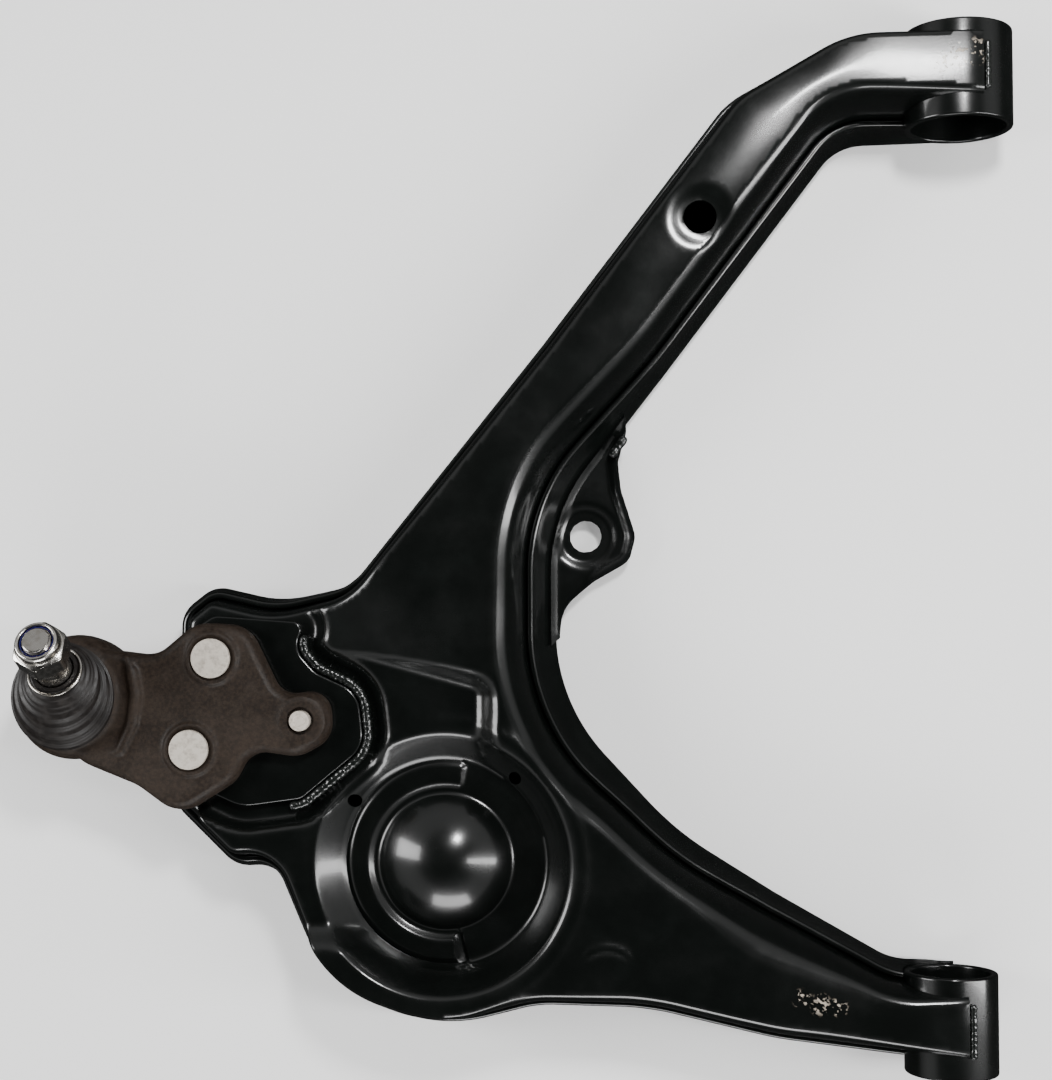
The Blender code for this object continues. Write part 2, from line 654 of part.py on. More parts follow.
def make_welds():
    plate_bead = 2.2
    path = []
    for point, normal in zip(PLATE_LOOP, normals(PLATE_LOOP)):
        if point[0] > -72.0 and point[1] < 104.0:
            path.append((point[0] - normal.x * (plate_bead + GAP), point[1] - normal.y * (plate_bead + GAP),
                         PAD_Z + GAP + plate_bead + 0.2))
    swept("seat_plate_weld", path, plate_bead, WELD)
    tab_bead = 2.0
    path = []
    for k in range(8):
        t = k / 7.0
        path.append((lerp(74.5, 81.5, t), lerp(187.0, 196.5, t), TAB_Z + 6.2))
    swept("link_tab_weld", path, tab_bead, WELD)
    bead = 1.5
    sleeves = (
        ("front_sleeve_weld", FRONT_SLEEVE_X, 0.0, FRONT_SLEEVE_R, FRONT_SLEEVE_Y, FRONT_LAP, 11.0),
        ("rear_sleeve_weld", REAR_SLEEVE_X, REAR_SLEEVE_Z, REAR_SLEEVE_R, REAR_SLEEVE_Y, REAR_LAP, 12.0),
    )
    for name, x, z, radius, y, lap, half in sleeves:
        across = lap + GAP + bead
        up = math.sqrt((radius + GAP + bead) ** 2 - across ** 2)
        path = [(x + across, y + lerp(-half, half, k / 10.0), z + up) for k in range(11)]
        swept(name, path, bead, WELD)


# ---------------------------------------------------------------- ball joint

def make_housing():
    low = PAD_Z + GAP + PLATE_T + GAP
    high = low + FLANGE_T
    loop = [(p[0], p[1]) for p in rounded(FLANGE, 20.0, 30.0)]
    inward = normals(loop)
    rings = []
    for away, z in ((1.2, low), (0.0, low + 1.6), (0.8, high - 2.4), (3.2, high)):
        rings.append([(p[0] + n.x * away, p[1] + n.y * away, z) for p, n in zip(loop, inward)])
    obj = new_object("ball_joint_housing", loft(rings), FORGED)
    base = BALL_Z - 29.0
    cup = ((22.0, base), (25.0, base + 1.0), (28.0, base + 9.0), (CUP_R, base + 18.0), (28.6, base + 26.0),
           (26.0, base + 32.0), (22.8, base + 34.6), (22.2, base + 35.4), (NECK_R, base + 35.6),
           (NECK_R, base + 37.8), (NECK_R - 0.6, base + 38.4))
    bosses = [turned(((12.6, high - 3.0), (12.2, high + 0.8), (11.2, high + 1.6)), 36, (x, y, 0.0))
              for x, y in RIVET_SPOTS]
    joins = [cutter("join_cup", turned(cup, 36, (BALL_X, BALL_Y, 0.0)))]
    joins += [cutter("join_boss", boss) for boss in bosses]
    boolean(obj, joins, "UNION")
    apply_modifiers(obj, joins)
    hollow = ((CAVITY_R, base - 1.0), (CAVITY_R, BALL_Z + 4.0), (15.8, BALL_Z + 8.0), (16.4, BALL_Z + 12.0))
    tools = [cutter("cut_cavity", turned(hollow, 36, (BALL_X, BALL_Y, 0.0)))]
    for x, y in RIVET_SPOTS:
        tools.append(cutter("cut_rivet", cylinder(x, y, 0.0, 40.0, RIVET_R + GAP)))
        tools.append(cutter("cut_recess", cylinder(x, y, high + 0.4, 40.0, RIVET_HEAD_R + 0.5, 40)))
    tools.append(cutter("cut_pin", cylinder(*PIN_SPOT, 0.0, 40.0, PIN_R + GAP)))
    tools.append(cutter("cut_pin_recess", cylinder(*PIN_SPOT, high - 1.4, 40.0, PIN_R + 1.6)))
    boolean(obj, tools)
    apply_modifiers(obj, tools)
    return high


def make_rivets(flange_top):
    under = NOSE_FLOOR_Z - GAP
    for name, (x, y) in zip(("rivet_front", "rivet_rear"), RIVET_SPOTS):
        seat = flange_top + 0.4 + GAP
        profile = ((RIVET_R - 0.8, under - 4.0), (RIVET_R + 2.2, under - 3.2), (RIVET_R + 3.0, under - 1.0),
                   (RIVET_R + 3.0, under), (RIVET_R, under), (RIVET_R, seat), (RIVET_HEAD_R, seat),
                   (RIVET_HEAD_R, seat + RIVET_HEAD_T - 0.7), (RIVET_HEAD_R - 0.8, seat + RIVET_HEAD_T))
        new_object(name, turned(profile, 28, (x, y, 0.0)), ZINC_CREAM)
    x, y = PIN_SPOT
    below = PAD_Z - SHEET - GAP - 0.5
    profile = ((PIN_R, below - 2.8), (PIN_R + 2.6, below - 2.2), (PIN_R + 2.6, below), (PIN_R, below),
               (PIN_R, flange_top + PIN_TAIL - 0.8), (PIN_R - 0.8, flange_top + PIN_TAIL))
    new_object("rivet_ear", turned(profile, 24, (x, y, 0.0)), ZINC_CREAM)


def sphere_arc(radius, low, high, steps):
    """(radius, height) points on a sphere between two heights."""
    start, stop = math.asin(low / radius), math.asin(high / radius)
    return [(radius * math.cos(lerp(start, stop, k / steps)), radius * math.sin(lerp(start, stop, k / steps)))
            for k in range(steps + 1)]


def make_seat_and_cap():
    centre = (BALL_X, BALL_Y, BALL_Z)
    inner = sphere_arc(BALL_R + GAP, -11.5, 6.6, 7)
    outer = ((14.6, 8.6), (CAVITY_R - GAP, 3.4), (CAVITY_R - GAP, -14.5), (8.7, -14.5))
    new_object("ball_seat", turned(inner + list(outer), 32, centre, closed=True), NYLON_WHITE)
    top = -15.0
    cap = ((CAVITY_R - 3.0, -22.0), (CAVITY_R - GAP, -20.5), (CAVITY_R - GAP, top), (0.0, top))
    bottom = ((0.0, -19.5), (CAVITY_R - 6.0, -19.5))
    new_object("housing_cap", turned(bottom + cap, 32, centre), FORGED)


def stud_frame():
    lean = Matrix.Rotation(math.radians(LEAN_DEG), 4, "Y")
    heading = Matrix.Rotation(math.radians(LEAN_HEADING_DEG), 4, "Z")
    return heading @ lean @ heading.inverted()


def on_stud(obj):
    """Stand an object, made about the ball's middle, on the leaning stud."""
    obj.data.transform(STUD)
    obj.location = (BALL_X * MM, BALL_Y * MM, BALL_Z * MM)


def make_stud():
    ball = sphere_arc(BALL_R, -BALL_R + 0.25, 12.3, 9)
    shank = ((6.6, 13.6), (7.0, 19.0), (TAPER_R - 0.4, TAPER_START), (TAPER_R, TAPER_START + 1.0),
             (7.3, TAPER_END), (THREAD_R - GAP, TAPER_END + 0.4), (THREAD_R - GAP, STUD_END - 1.0),
             (THREAD_R - 1.2, STUD_END))
    obj = new_object("ball_stud", turned(ball + list(shank), 32), STEEL)
    on_stud(obj)


def make_nut():
    base, top = NUT_BASE, NUT_BASE + NUT_HEIGHT
    hex_top = base + NUT_HEIGHT * 0.68
    count = 36
    bore = THREAD_R + 0.05
    hex_ring = []
    for k in range(count):
        angle = math.tau * k / count
        local = (angle + math.pi / 6.0) % (math.pi / 3.0) - math.pi / 6.0
        hex_ring.append((NUT_FLATS / 2.0 / math.cos(local), angle))
    flats = NUT_FLATS / 2.0

    def ring(radius_of, z):
        return [(r * math.cos(a), r * math.sin(a), z) for r, a in ((radius_of(h), a) for h, a in hex_ring)]

    rings = [
        ring(lambda h: bore, base + NUT_SINK),
        ring(lambda h: bore + NUT_SINK, base),
        ring(lambda h: min(h, flats), base),
        ring(lambda h: h, base + 1.2),
        ring(lambda h: h, hex_top - 1.2),
        ring(lambda h: min(h, flats), hex_top),
        ring(lambda h: flats - 1.0, hex_top + 0.2),
        ring(lambda h: flats - 1.2, top - 1.0),
        ring(lambda h: flats - 2.2, top),
        ring(lambda h: flats - 3.2, top),
        ring(lambda h: flats - 3.2, top - 4.0),
        ring(lambda h: bore, top - 4.0),
    ]
    nut = new_object("lock_nut", loft(rings, closed=True), ZINC)
    on_stud(nut)
    outer = flats - 3.2 - GAP
    profile = ((THREAD_R + 0.05, top - 3.7), (outer, top - 3.7), (outer, top - 0.9), (THREAD_R + 0.05, top - 0.9))
    insert = new_object("nut_nylon_insert", turned(profile, 32, closed=True), NYLON_BLUE)
    on_stud(insert)


def boot_section(t):
    """Middle, tilt share and outer radius of the boot at t, from 0 at its base to 1 at its neck."""
    base = NECK_R + GAP + BOOT_WALL
    folds = ((0.0, base), (0.14, base), (0.24, 23.6), (0.32, 24.2), (0.42, 22.4), (0.50, 19.2),
             (0.58, 18.6), (0.65, 18.8), (0.72, 16.6), (0.79, 13.0), (0.86, 10.7), (1.0, 10.6))
    for (a, r_a), (b, r_b) in zip(folds, folds[1:]):
        if t <= b:
            return r_a + (r_b - r_a) * smooth((t - a) / (b - a))
    return folds[-1][1]


def boot_ring(t, radius):
    tip = STUD @ Vector((0.0, 0.0, TAPER_START + 2.6))
    base = Vector((0.0, 0.0, BOOT_BASE))
    share = smooth((t - 0.17) / 0.83)
    middle = base.lerp(tip, share)
    middle.z = lerp(base.z, tip.z, t)
    lean = Matrix.Rotation(math.radians(LEAN_DEG) * share, 3, "Y")
    heading = Matrix.Rotation(math.radians(LEAN_HEADING_DEG), 3, "Z")
    turn = heading @ lean @ heading.inverted()
    return [tuple(middle + turn @ Vector((x, y, 0.0))) for x, y in circle(0.0, 0.0, radius, 32)]


def make_boot():
    steps = 16
    outer = [boot_ring(k / steps, boot_section(k / steps)) for k in range(steps + 1)]
    inner = [boot_ring(k / steps, min(boot_section(k / steps) - BOOT_WALL, 21.8)) for k in range(steps + 1)]
    inner = inner[::-1]
    obj = new_object("dust_boot", loft(outer + inner, closed=True), RUBBER)
    obj.location = (BALL_X * MM, BALL_Y * MM, BALL_Z * MM)
    wire = 0.75
    reach = NECK_R + GAP + BOOT_WALL + GAP + wire
    lower = [(reach + wire * math.cos(a), BOOT_BASE + 1.4 + wire * math.sin(a))
             for a in (math.tau * k / 6 for k in range(6))]
    obj = new_object("boot_lower_ring", turned(lower, 36, closed=True), STEEL)
    obj.location = (BALL_X * MM, BALL_Y * MM, BALL_Z * MM)
    upper = [(10.9 + GAP + wire + wire * math.cos(a), TAPER_START + 1.5 + wire * math.sin(a))
             for a in (math.tau * k / 6 for k in range(6))]
    obj = new_object("boot_upper_ring", turned(upper, 30, closed=True), STEEL)
    on_stud(obj)


def settle_on_origin():
    """Parent everything to one empty placed so that the underside's middle is the world's origin."""
    bpy.context.view_layer.update()
    parts = [obj for obj in bpy.data.objects if obj.type == "MESH"]
    corners = [obj.matrix_world @ vert.co for obj in parts for vert in obj.data.vertices]
    low = [min(c[k] for c in corners) for k in range(3)]
    high = [max(c[k] for c in corners) for k in range(3)]
    root = bpy.data.objects.new("control_arm", None)
    bpy.context.collection.objects.link(root)
    root.location = (-(low[0] + high[0]) / 2.0, -(low[1] + high[1]) / 2.0, -low[2])
    for obj in parts:
        obj.parent = root


clear_scene()
BLACK = material("black_paint", (0.012, 0.014, 0.013), 0.22, 0.0)
WELD = material("painted_weld", (0.016, 0.018, 0.017), 0.35, 0.0)
FORGED = material("forged_steel", (0.045, 0.033, 0.026), 0.55, 0.6)
STEEL = material("bright_steel", (0.55, 0.54, 0.52), 0.25, 1.0)
ZINC = material("zinc_plate", (0.70, 0.69, 0.66), 0.3, 1.0)
ZINC_CREAM = material("cream_zinc", (0.72, 0.68, 0.60), 0.45, 0.4)
RUBBER = material("boot_rubber", (0.03, 0.028, 0.028), 0.6, 0.0)
NYLON_BLUE = material("nylon_blue", (0.03, 0.02, 0.16), 0.4, 0.0)
NYLON_WHITE = material("nylon_white", (0.75, 0.74, 0.70), 0.5, 0.0)
SPARE = material("spare", (0.5, 0.5, 0.5), 0.5, 0.0)

OUTLINE_LOOP = rounded(OUTLINE)
OUTLINE_NORMALS = normals(OUTLINE_LOOP)
PLATE_LOOP = [(p[0], p[1]) for p in rounded(SEAT_PLATE, 20.0, 10.0)]
STUD = stud_frame()

make_upper_shell()
make_lower_shell()
make_sleeve("front_bush_sleeve", FRONT_SLEEVE_X, FRONT_SLEEVE_Y, 0.0, FRONT_SLEEVE_R)
make_sleeve("rear_bush_sleeve", REAR_SLEEVE_X, REAR_SLEEVE_Y, REAR_SLEEVE_Z, REAR_SLEEVE_R)
make_link_tab()
make_seat_plate()
make_welds()
make_rivets(make_housing())
make_seat_and_cap()
make_stud()
make_nut()
make_boot()
settle_on_origin()
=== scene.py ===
"""Looks of the control arm: finer shapes, finishes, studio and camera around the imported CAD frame.

Shapes are worked out in millimetres from the middle of the spring pan, on the line where the two pressed
shells meet, and moved onto the CAD's front bush sleeve at the end.
"""

import math

import bmesh
import bpy
import numpy as np
from mathutils import Matrix, Vector
from mathutils.geometry import delaunay_2d_cdt


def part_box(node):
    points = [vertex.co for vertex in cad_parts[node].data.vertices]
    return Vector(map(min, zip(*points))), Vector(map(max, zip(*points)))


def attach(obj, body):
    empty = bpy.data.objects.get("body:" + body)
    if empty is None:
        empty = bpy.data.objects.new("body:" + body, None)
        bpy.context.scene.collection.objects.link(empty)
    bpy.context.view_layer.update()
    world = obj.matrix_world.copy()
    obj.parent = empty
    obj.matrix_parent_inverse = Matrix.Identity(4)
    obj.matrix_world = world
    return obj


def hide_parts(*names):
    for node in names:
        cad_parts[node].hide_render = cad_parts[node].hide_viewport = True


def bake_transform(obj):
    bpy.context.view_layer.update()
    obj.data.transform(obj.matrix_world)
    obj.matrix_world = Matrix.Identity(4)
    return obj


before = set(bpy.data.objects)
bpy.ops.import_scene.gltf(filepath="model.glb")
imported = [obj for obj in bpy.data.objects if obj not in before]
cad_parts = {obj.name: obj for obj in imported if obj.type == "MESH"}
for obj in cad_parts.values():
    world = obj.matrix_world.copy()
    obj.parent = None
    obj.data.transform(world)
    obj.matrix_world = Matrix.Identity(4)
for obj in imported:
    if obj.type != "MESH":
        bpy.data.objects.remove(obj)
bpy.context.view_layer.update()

MM = 0.001
GAP = 0.3

# Pressed shells
SHEET = 2.8
SHELL_LAP = 3.6
FRONT_SLEEVE = (234.5, 357.5, 0.0)
REAR_SLEEVE = (227.5, -69.0, -3.75)
FRONT_SLEEVE_R = 24.5
REAR_SLEEVE_R = 20.75
SLEEVE_LENGTH = 44.5
SLEEVE_WALL = 3.2
FRONT_LAP = 8.0
REAR_LAP = 5.0
LOWER_LAP = 4.0
FLOOR_Z = -27.3
ARM_TOP_Z = 24.0
ARM_CROWN = 2.6
SLEEVE_CROWN = 0.8
FRONT_TOP_Z = 27.3
REAR_TOP_Z = 19.8
LAP_Z = -3.0
UPPER_EDGE_Z = -6.0
NOSE_FLOOR_Z = -11.0
NOSE_RAMP_X = -66.0
NOSE_RAMP = 26.0
FLOOR_CORNER = 5.6

# Spring pan
PAN_RIM_R = 60.0
PAN_SEAT_R = 45.5
PAN_DOME_R = 33.0
PAN_SEAT_Z = 5.0
PAN_DOME_Z = 21.0
PAN_SIDE_Z = 15.0
DRAINS = ((147.0, 50.0), (50.0, 50.0))
DRAIN_R = 3.0
ARM_HOLE = (116.5, 291.3)
ARM_HOLE_R = 7.5

# Ball joint stack on the nose
PAD_Z = 8.0
PAD_MARGIN = 5.6
PAD_STEP = 8.0
PLATE_T = 4.0
FLANGE_Z = 12.6
FLANGE_T = 10.0
RIVET_R = 5.0
RIVET_HEAD_R = 9.0
RIVET_HEAD_T = 3.0
PIN_R = 4.6
PIN_TAIL = 3.4
RIVET_SPOTS = ((-105.8, 92.3), (-115.4, 50.8))
PIN_SPOT = (-64.4, 64.2)

# Ball joint
BALL = Vector((-173.0, 74.0, 18.0))
BALL_R = 14.0
CUP_R = 29.0
CAVITY_R = 18.0
NECK_R = 18.4
BOOT_WALL = 1.6
BOOT_BASE = 7.0
LEAN = math.radians(28.0)
HEADING = math.radians(88.0)
TAPER_START = 25.0
TAPER_END = 40.5
TAPER_R = 8.6
THREAD_R = 7.0
THREAD_PITCH = 1.5
STUD_END = 56.0
NUT_FLATS = 22.0
NUT_BASE = 41.0
NUT_HEIGHT = 14.5

# Link tab
TAB_T = 3.2
TAB_Z = -19.5
TAB_DISH = 1.6
TAB_HOLE = (62.3, 150.0)
TAB_HOLE_R = 7.5

# Corners of the widest outline, anticlockwise: x, y, corner radius, width of the lower shell's side,
# width of the upper shell's side.
FRONT_END_X = FRONT_SLEEVE[0] + FRONT_LAP + 24.0
REAR_END_X = REAR_SLEEVE[0] + REAR_LAP + 28.0
HALF_SLEEVE = SLEEVE_LENGTH / 2.0
OUTLINE = (
    (-58.0, -60.5, 75.0, 2.0, 4.0),
    (-2.5, -79.5, 75.0, 2.0, 4.0),
    (42.0, -67.5, 55.0, 2.0, 6.0),
    (92.0, -68.0, 120.0, 2.0, 7.0),
    (150.0, -80.5, 150.0, 2.0, 7.0),
    (REAR_END_X, REAR_SLEEVE[1] - HALF_SLEEVE - 0.2, 21.0, 1.5, 5.0),
    (REAR_END_X, REAR_SLEEVE[1] + HALF_SLEEVE + 1.7, 21.0, 2.0, 5.0),
    (REAR_SLEEVE[0] - 24.5, REAR_SLEEVE[1] + HALF_SLEEVE + 2.2, 30.0, 3.0, 7.0),
    (150.0, -15.2, 60.0, 4.0, 19.0),
    (104.5, 12.5, 140.0, 6.0, 11.0),
    (48.5, 72.0, 85.0, 9.0, 13.0),
    (48.0, 160.0, 80.0, 9.0, 12.0),
    (101.0, 228.5, 200.0, 4.0, 9.0),
    (FRONT_SLEEVE[0] - 53.5, FRONT_SLEEVE[1] - HALF_SLEEVE - 0.7, 24.0, 4.0, 8.0),
    (FRONT_END_X, FRONT_SLEEVE[1] - HALF_SLEEVE + 0.8, 19.0, 1.5, 5.0),
    (FRONT_END_X, FRONT_SLEEVE[1] + HALF_SLEEVE + 1.2, 19.0, 1.5, 4.0),
    (FRONT_SLEEVE[0] - 52.5, FRONT_SLEEVE[1] + HALF_SLEEVE + 2.8, 60.0, 2.0, 5.0),
    (127.0, 354.0, 42.0, 3.0, 6.0),
    (41.5, 240.0, 200.0, 2.0, 6.0),
    (-48.5, 127.0, 28.0, 2.0, 5.0),
    (-82.0, 119.5, 40.0, 2.0, 5.0),
    (-113.0, 126.5, 14.0, 2.0, 5.0),
    (-129.0, 114.0, 14.0, 2.0, 5.0),
    (-129.0, 100.0, 16.0, 2.0, 5.0),
    (-137.0, 82.0, 14.0, 2.0, 5.0),
    (-137.0, 46.0, 14.0, 2.0, 5.0),
    (-129.0, 21.0, 14.0, 2.0, 5.0),
    (-101.0, -5.5, 16.0, 2.0, 5.0),
    (-83.0, -4.0, 14.0, 2.0, 5.0),
)

# Corners of the seat plate, anticlockwise: x, y, corner radius.
SEAT_PLATE = (
    (-117.0, 34.0, 8.0),
    (-94.0, 24.0, 20.0),
    (-66.0, 28.0, 8.0),
    (-37.0, 52.0, 14.0),
    (-40.0, 77.0, 14.0),
    (-60.0, 86.0, 12.0),
    (-70.0, 97.0, 10.0),
    (-65.0, 109.0, 4.0),
    (-108.0, 112.0, 8.0),
    (-117.0, 106.0, 6.0),
)

# Corners of the housing's flange, anticlockwise: x, y, corner radius.
FLANGE = (
    (-176.0, 47.0, 20.0),
    (-141.0, 33.5, 20.0),
    (-121.0, 19.5, 16.0),
    (-95.0, 36.0, 16.0),
    (-88.0, 50.0, 12.0),
    (-66.0, 47.0, 16.0),
    (-50.0, 56.0, 13.0),
    (-52.0, 79.0, 13.0),
    (-74.0, 76.0, 10.0),
    (-90.0, 108.0, 16.0),
    (-115.0, 109.0, 16.0),
    (-133.0, 94.0, 14.0),
    (-176.0, 99.0, 20.0),
)

# Free edge of the link tab, going away from the shell and back: x, y, corner radius.
TAB_EDGE = (
    (81.5, 200.0, 1.0),
    (77.2, 185.0, 5.0),
    (78.6, 172.0, 20.0),
    (85.6, 150.0, 11.0),
    (82.6, 138.4, 9.0),
    (66.0, 129.0, 24.0),
    (51.5, 116.0, 24.0),
    (50.2, 102.0, 1.0),
)


# ---------------------------------------------------------------- outlines

def smooth(value):
    value = np.clip(value, 0.0, 1.0)
    return value * value * (3.0 - 2.0 * value)


def lerp(a, b, t):
    return a + (b - a) * t


def rounded(corners, step_deg, longest, closed=True):
    """Points round a polygon whose corners carry (x, y, radius, extras...), evenly close together."""
    count = len(corners)
    points = []
    for index, corner in enumerate(corners):
        here = Vector(corner[:2])
        extra = list(corner[3:])
        if not closed and index in (0, count - 1):
            points.append([*here, *extra])
            continue
        before = Vector(corners[index - 1][:2]) - here
        after = Vector(corners[(index + 1) % count][:2]) - here
        turn = before.angle(after)
        reach = min(corner[2] / math.tan(turn / 2.0), 0.49 * before.length, 0.49 * after.length)
        radius = reach * math.tan(turn / 2.0)
        middle = here + (before.normalized() + after.normalized()).normalized() * math.hypot(reach, radius)
        first = here + before.normalized() * reach - middle
        last = here + after.normalized() * reach - middle
        sweep = first.angle_signed(last)
        by_angle = math.ceil(math.degrees(abs(sweep)) / step_deg)
        steps = max(2, by_angle, math.ceil(abs(sweep) * radius / longest))
        for k in range(steps + 1):
            point = middle + Matrix.Rotation(-sweep * k / steps, 2) @ first
            points.append([*point, *extra])
    out = []
    spans = len(points) if closed else len(points) - 1
    for index in range(spans):
        a = points[index]
        b = points[(index + 1) % len(points)]
        length = math.hypot(b[0] - a[0], b[1] - a[1])
        parts = max(1, math.ceil(length / longest))
        if length > 1e-6:
            out += [[lerp(p, q, k / parts) for p, q in zip(a, b)] for k in range(parts)]
    if not closed:
        out.append(points[-1])
    return np.array(out)


def inward(loop):
    """Unit normals of a closed anticlockwise loop, pointing into it."""
    along = np.roll(loop[:, :2], -1, 0) - np.roll(loop[:, :2], 1, 0)
    along /= np.linalg.norm(along, axis=1)[:, None]
    return np.stack([-along[:, 1], along[:, 0]], 1)


def soften(values, loop, reach):
    """Blend values along a closed loop over about that many millimetres."""
    step = np.linalg.norm(loop[:, :2] - np.roll(loop[:, :2], 1, 0), axis=1)
    where = np.cumsum(step)
    total = where[-1]
    apart = np.abs(where[:, None] - where[None, :])
    apart = np.minimum(apart, total - apart)
    weight = np.exp(-0.5 * (apart / reach) ** 2) * step[None, :]
    return weight @ values / weight.sum(1)


def edge_distance(loop, points):
    """Distance of many points from a closed loop, negative inside."""
    a = loop[:, :2]
    d = np.roll(a, 1, 0) - a
    out = np.empty(len(points))
    for start in range(0, len(points), 4000):
        p = points[start:start + 4000, None, :2]
        r = p - a[None]
        t = np.clip((r * d[None]).sum(2) / ((d * d).sum(1)[None] + 1e-12), 0.0, 1.0)
        best = np.linalg.norm(r - d[None] * t[..., None], axis=2).min(1)
        b = a + d
        y = p[..., 1]
        spans = (a[None, :, 1] > y) != (b[None, :, 1] > y)
        slope = d[None, :, 0] * (y - a[None, :, 1]) / np.where(d[None, :, 1] == 0.0, 1e-12, d[None, :, 1])
        crosses = spans & (p[..., 0] < slope + a[None, :, 0])
        out[start:start + 4000] = np.where(crosses.sum(1) % 2 == 1, -best, best)
    return out


def circle(x, y, radius, count):
    angle = np.arange(count) * math.tau / count
    return np.stack([x + radius * np.cos(angle), y + radius * np.sin(angle)], 1)


# ---------------------------------------------------------------- meshes

def shift_onto_frame():
    low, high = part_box("front_bush_sleeve")
    return (low + high) / 2.0 - Vector(FRONT_SLEEVE) * MM


SHIFT = shift_onto_frame()


def place(obj, body, node):
    """The piece stands for a CAD node, whose mesh it hides, and rides on its body."""
    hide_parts(node)
    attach(obj, body)
    return obj


def shade(mesh, sharp_deg=40.0):
    mesh.polygons.foreach_set("use_smooth", np.ones(len(mesh.polygons), bool))
    mesh.set_sharp_from_angle(angle=math.radians(sharp_deg))


def make_object(name, bm, mat, turn=None, facing_up=False):
    """Mesh in working millimetres to an object in the CAD's frame."""
    name = name.lower().replace(" ", "_") + "_detailed"
    mesh = bpy.data.meshes.new(name)
    bmesh.ops.recalc_face_normals(bm, faces=bm.faces)
    if facing_up and sum(face.normal.z for face in bm.faces) < 0.0:
        bmesh.ops.reverse_faces(bm, faces=bm.faces)
    bm.to_mesh(mesh)
    bm.free()
    if turn is not None:
        mesh.transform(turn)
    mesh.transform(Matrix.Translation(SHIFT) @ Matrix.Scale(MM, 4))
    obj = bpy.data.objects.new(name, mesh)
    bpy.context.scene.collection.objects.link(obj)
    mesh.materials.append(mat)
    shade(mesh)
    return obj


def loft(rings, closed=False, caps=True):
    bm = bmesh.new()
    rows = [[bm.verts.new(p) for p in ring] for ring in rings]
    pairs = list(zip(rows, rows[1:]))
    if closed:
        pairs.append((rows[-1], rows[0]))
    for a, b in pairs:
        for k in range(len(a)):
            bm.faces.new((a[k - 1], a[k], b[k], b[k - 1]))
    if caps and not closed:
        bm.faces.new(rows[0])
        bm.faces.new(rows[-1])
    return bm


def turned(profile, count, centre=(0.0, 0.0, 0.0), closed=False):
    rings = []
    for radius, height in profile:
        ring = circle(centre[0], centre[1], max(radius, 0.02), count)
        rings.append([(x, y, centre[2] + height) for x, y in ring])
    return loft(rings, closed=closed)


def softened(profile, radius, steps=4, closed=False):
    """Round every corner of a (radius, height) profile."""
    points = [Vector(p) for p in profile]
    out = []
    last = len(points) - 1
    for k, here in enumerate(points):
        if not closed and k in (0, last):
            out.append(here)
            continue
        a = points[k - 1]
        b = points[(k + 1) % len(points)]
        cut = min(radius, 0.45 * (a - here).length, 0.45 * (b - here).length)
        start = here + (a - here).normalized() * cut
        end = here + (b - here).normalized() * cut
        for j in range(steps + 1):
            t = j / steps
            out.append(start * (1.0 - t) ** 2 + here * 2.0 * t * (1.0 - t) + end * t ** 2)
    return [tuple(p) for p in out]


def join_rows(bm, a, b):
    for k in range(len(a)):
        bm.faces.new((a[k - 1], a[k], b[k], b[k - 1]))


def fill(loop, inner_loops, points):
    coords = [Vector(p[:2]) for p in loop]
    edges = [(k, (k + 1) % len(loop)) for k in range(len(loop))]
    for inner in inner_loops:
        start = len(coords)
        coords += [Vector(p[:2]) for p in inner]
        edges += [(start + k, start + (k + 1) % len(inner)) for k in range(len(inner))]
    coords += [Vector(p[:2]) for p in points]
    verts, _, faces, origins, _, _ = delaunay_2d_cdt(coords, edges, [], 1, 1e-4)
    return verts, faces, origins


def fill_loop(bm, row, ring, height, inner_loops, points):
    verts, faces, origins = fill(ring, inner_loops, points)
    flat = np.array([[v.x, v.y] for v in verts])
    z = height(flat[:, 0], flat[:, 1])
    made = []
    for index, source in enumerate(origins):
        edge = [k for k in source if k < len(row)]
        made.append(row[edge[0]] if edge else bm.verts.new((flat[index, 0], flat[index, 1], z[index])))
    for face in faces:
        corner = [made[k] for k in face]
        if len(set(corner)) == 3:
            bm.faces.new(corner)


def hex_grid(loop, spacing, clear):
    low = loop[:, :2].min(0)
    high = loop[:, :2].max(0)
    rows = np.arange(low[1], high[1], spacing * 0.866)
    points = []
    for j, y in enumerate(rows):
        x = np.arange(low[0] + (j % 2) * spacing / 2.0, high[0], spacing)
        points.append(np.stack([x, np.full(len(x), y)], 1))
    points = np.concatenate(points)
    return points[edge_distance(loop, points) < -clear]


def cut(obj, tools):
    """Take the tools out of an object and apply it."""
    for tool in tools:
        modifier = obj.modifiers.new(tool.name, "BOOLEAN")
        modifier.operation = "DIFFERENCE"
        modifier.solver = "MANIFOLD"
        modifier.object = tool
    apply_modifiers(obj, tools)


def apply_modifiers(obj, tools=()):
    bpy.context.view_layer.update()
    graph = bpy.context.evaluated_depsgraph_get()
    mesh = bpy.data.meshes.new_from_object(obj.evaluated_get(graph))
    obj.modifiers.clear()
    obj.data = mesh
    for tool in tools:
        bpy.data.objects.remove(tool, do_unlink=True)


def tool(name, bm):
    obj = make_object(name, bm, SPARE)
    obj.hide_render = True
    return obj


def cylinder(x, y, low, high, radius, count=64):
    return turned(((radius, low), (radius, high)), count, (x, y, 0.0))


def along_y(x, z, y_low, y_high, radius, count=128):
    ring = circle(x, z, radius, count)
    return loft([[(a, y, b) for a, b in ring] for y in (y_low, y_high)])


def box(x_low, x_high, y_low, y_high, z_low, z_high):
    ring = ((x_low, y_low), (x_high, y_low), (x_high, y_high), (x_low, y_high))
    return loft([[(x, y, z) for x, y in ring] for z in (z_low, z_high)])


# ---------------------------------------------------------------- heights of the pressings

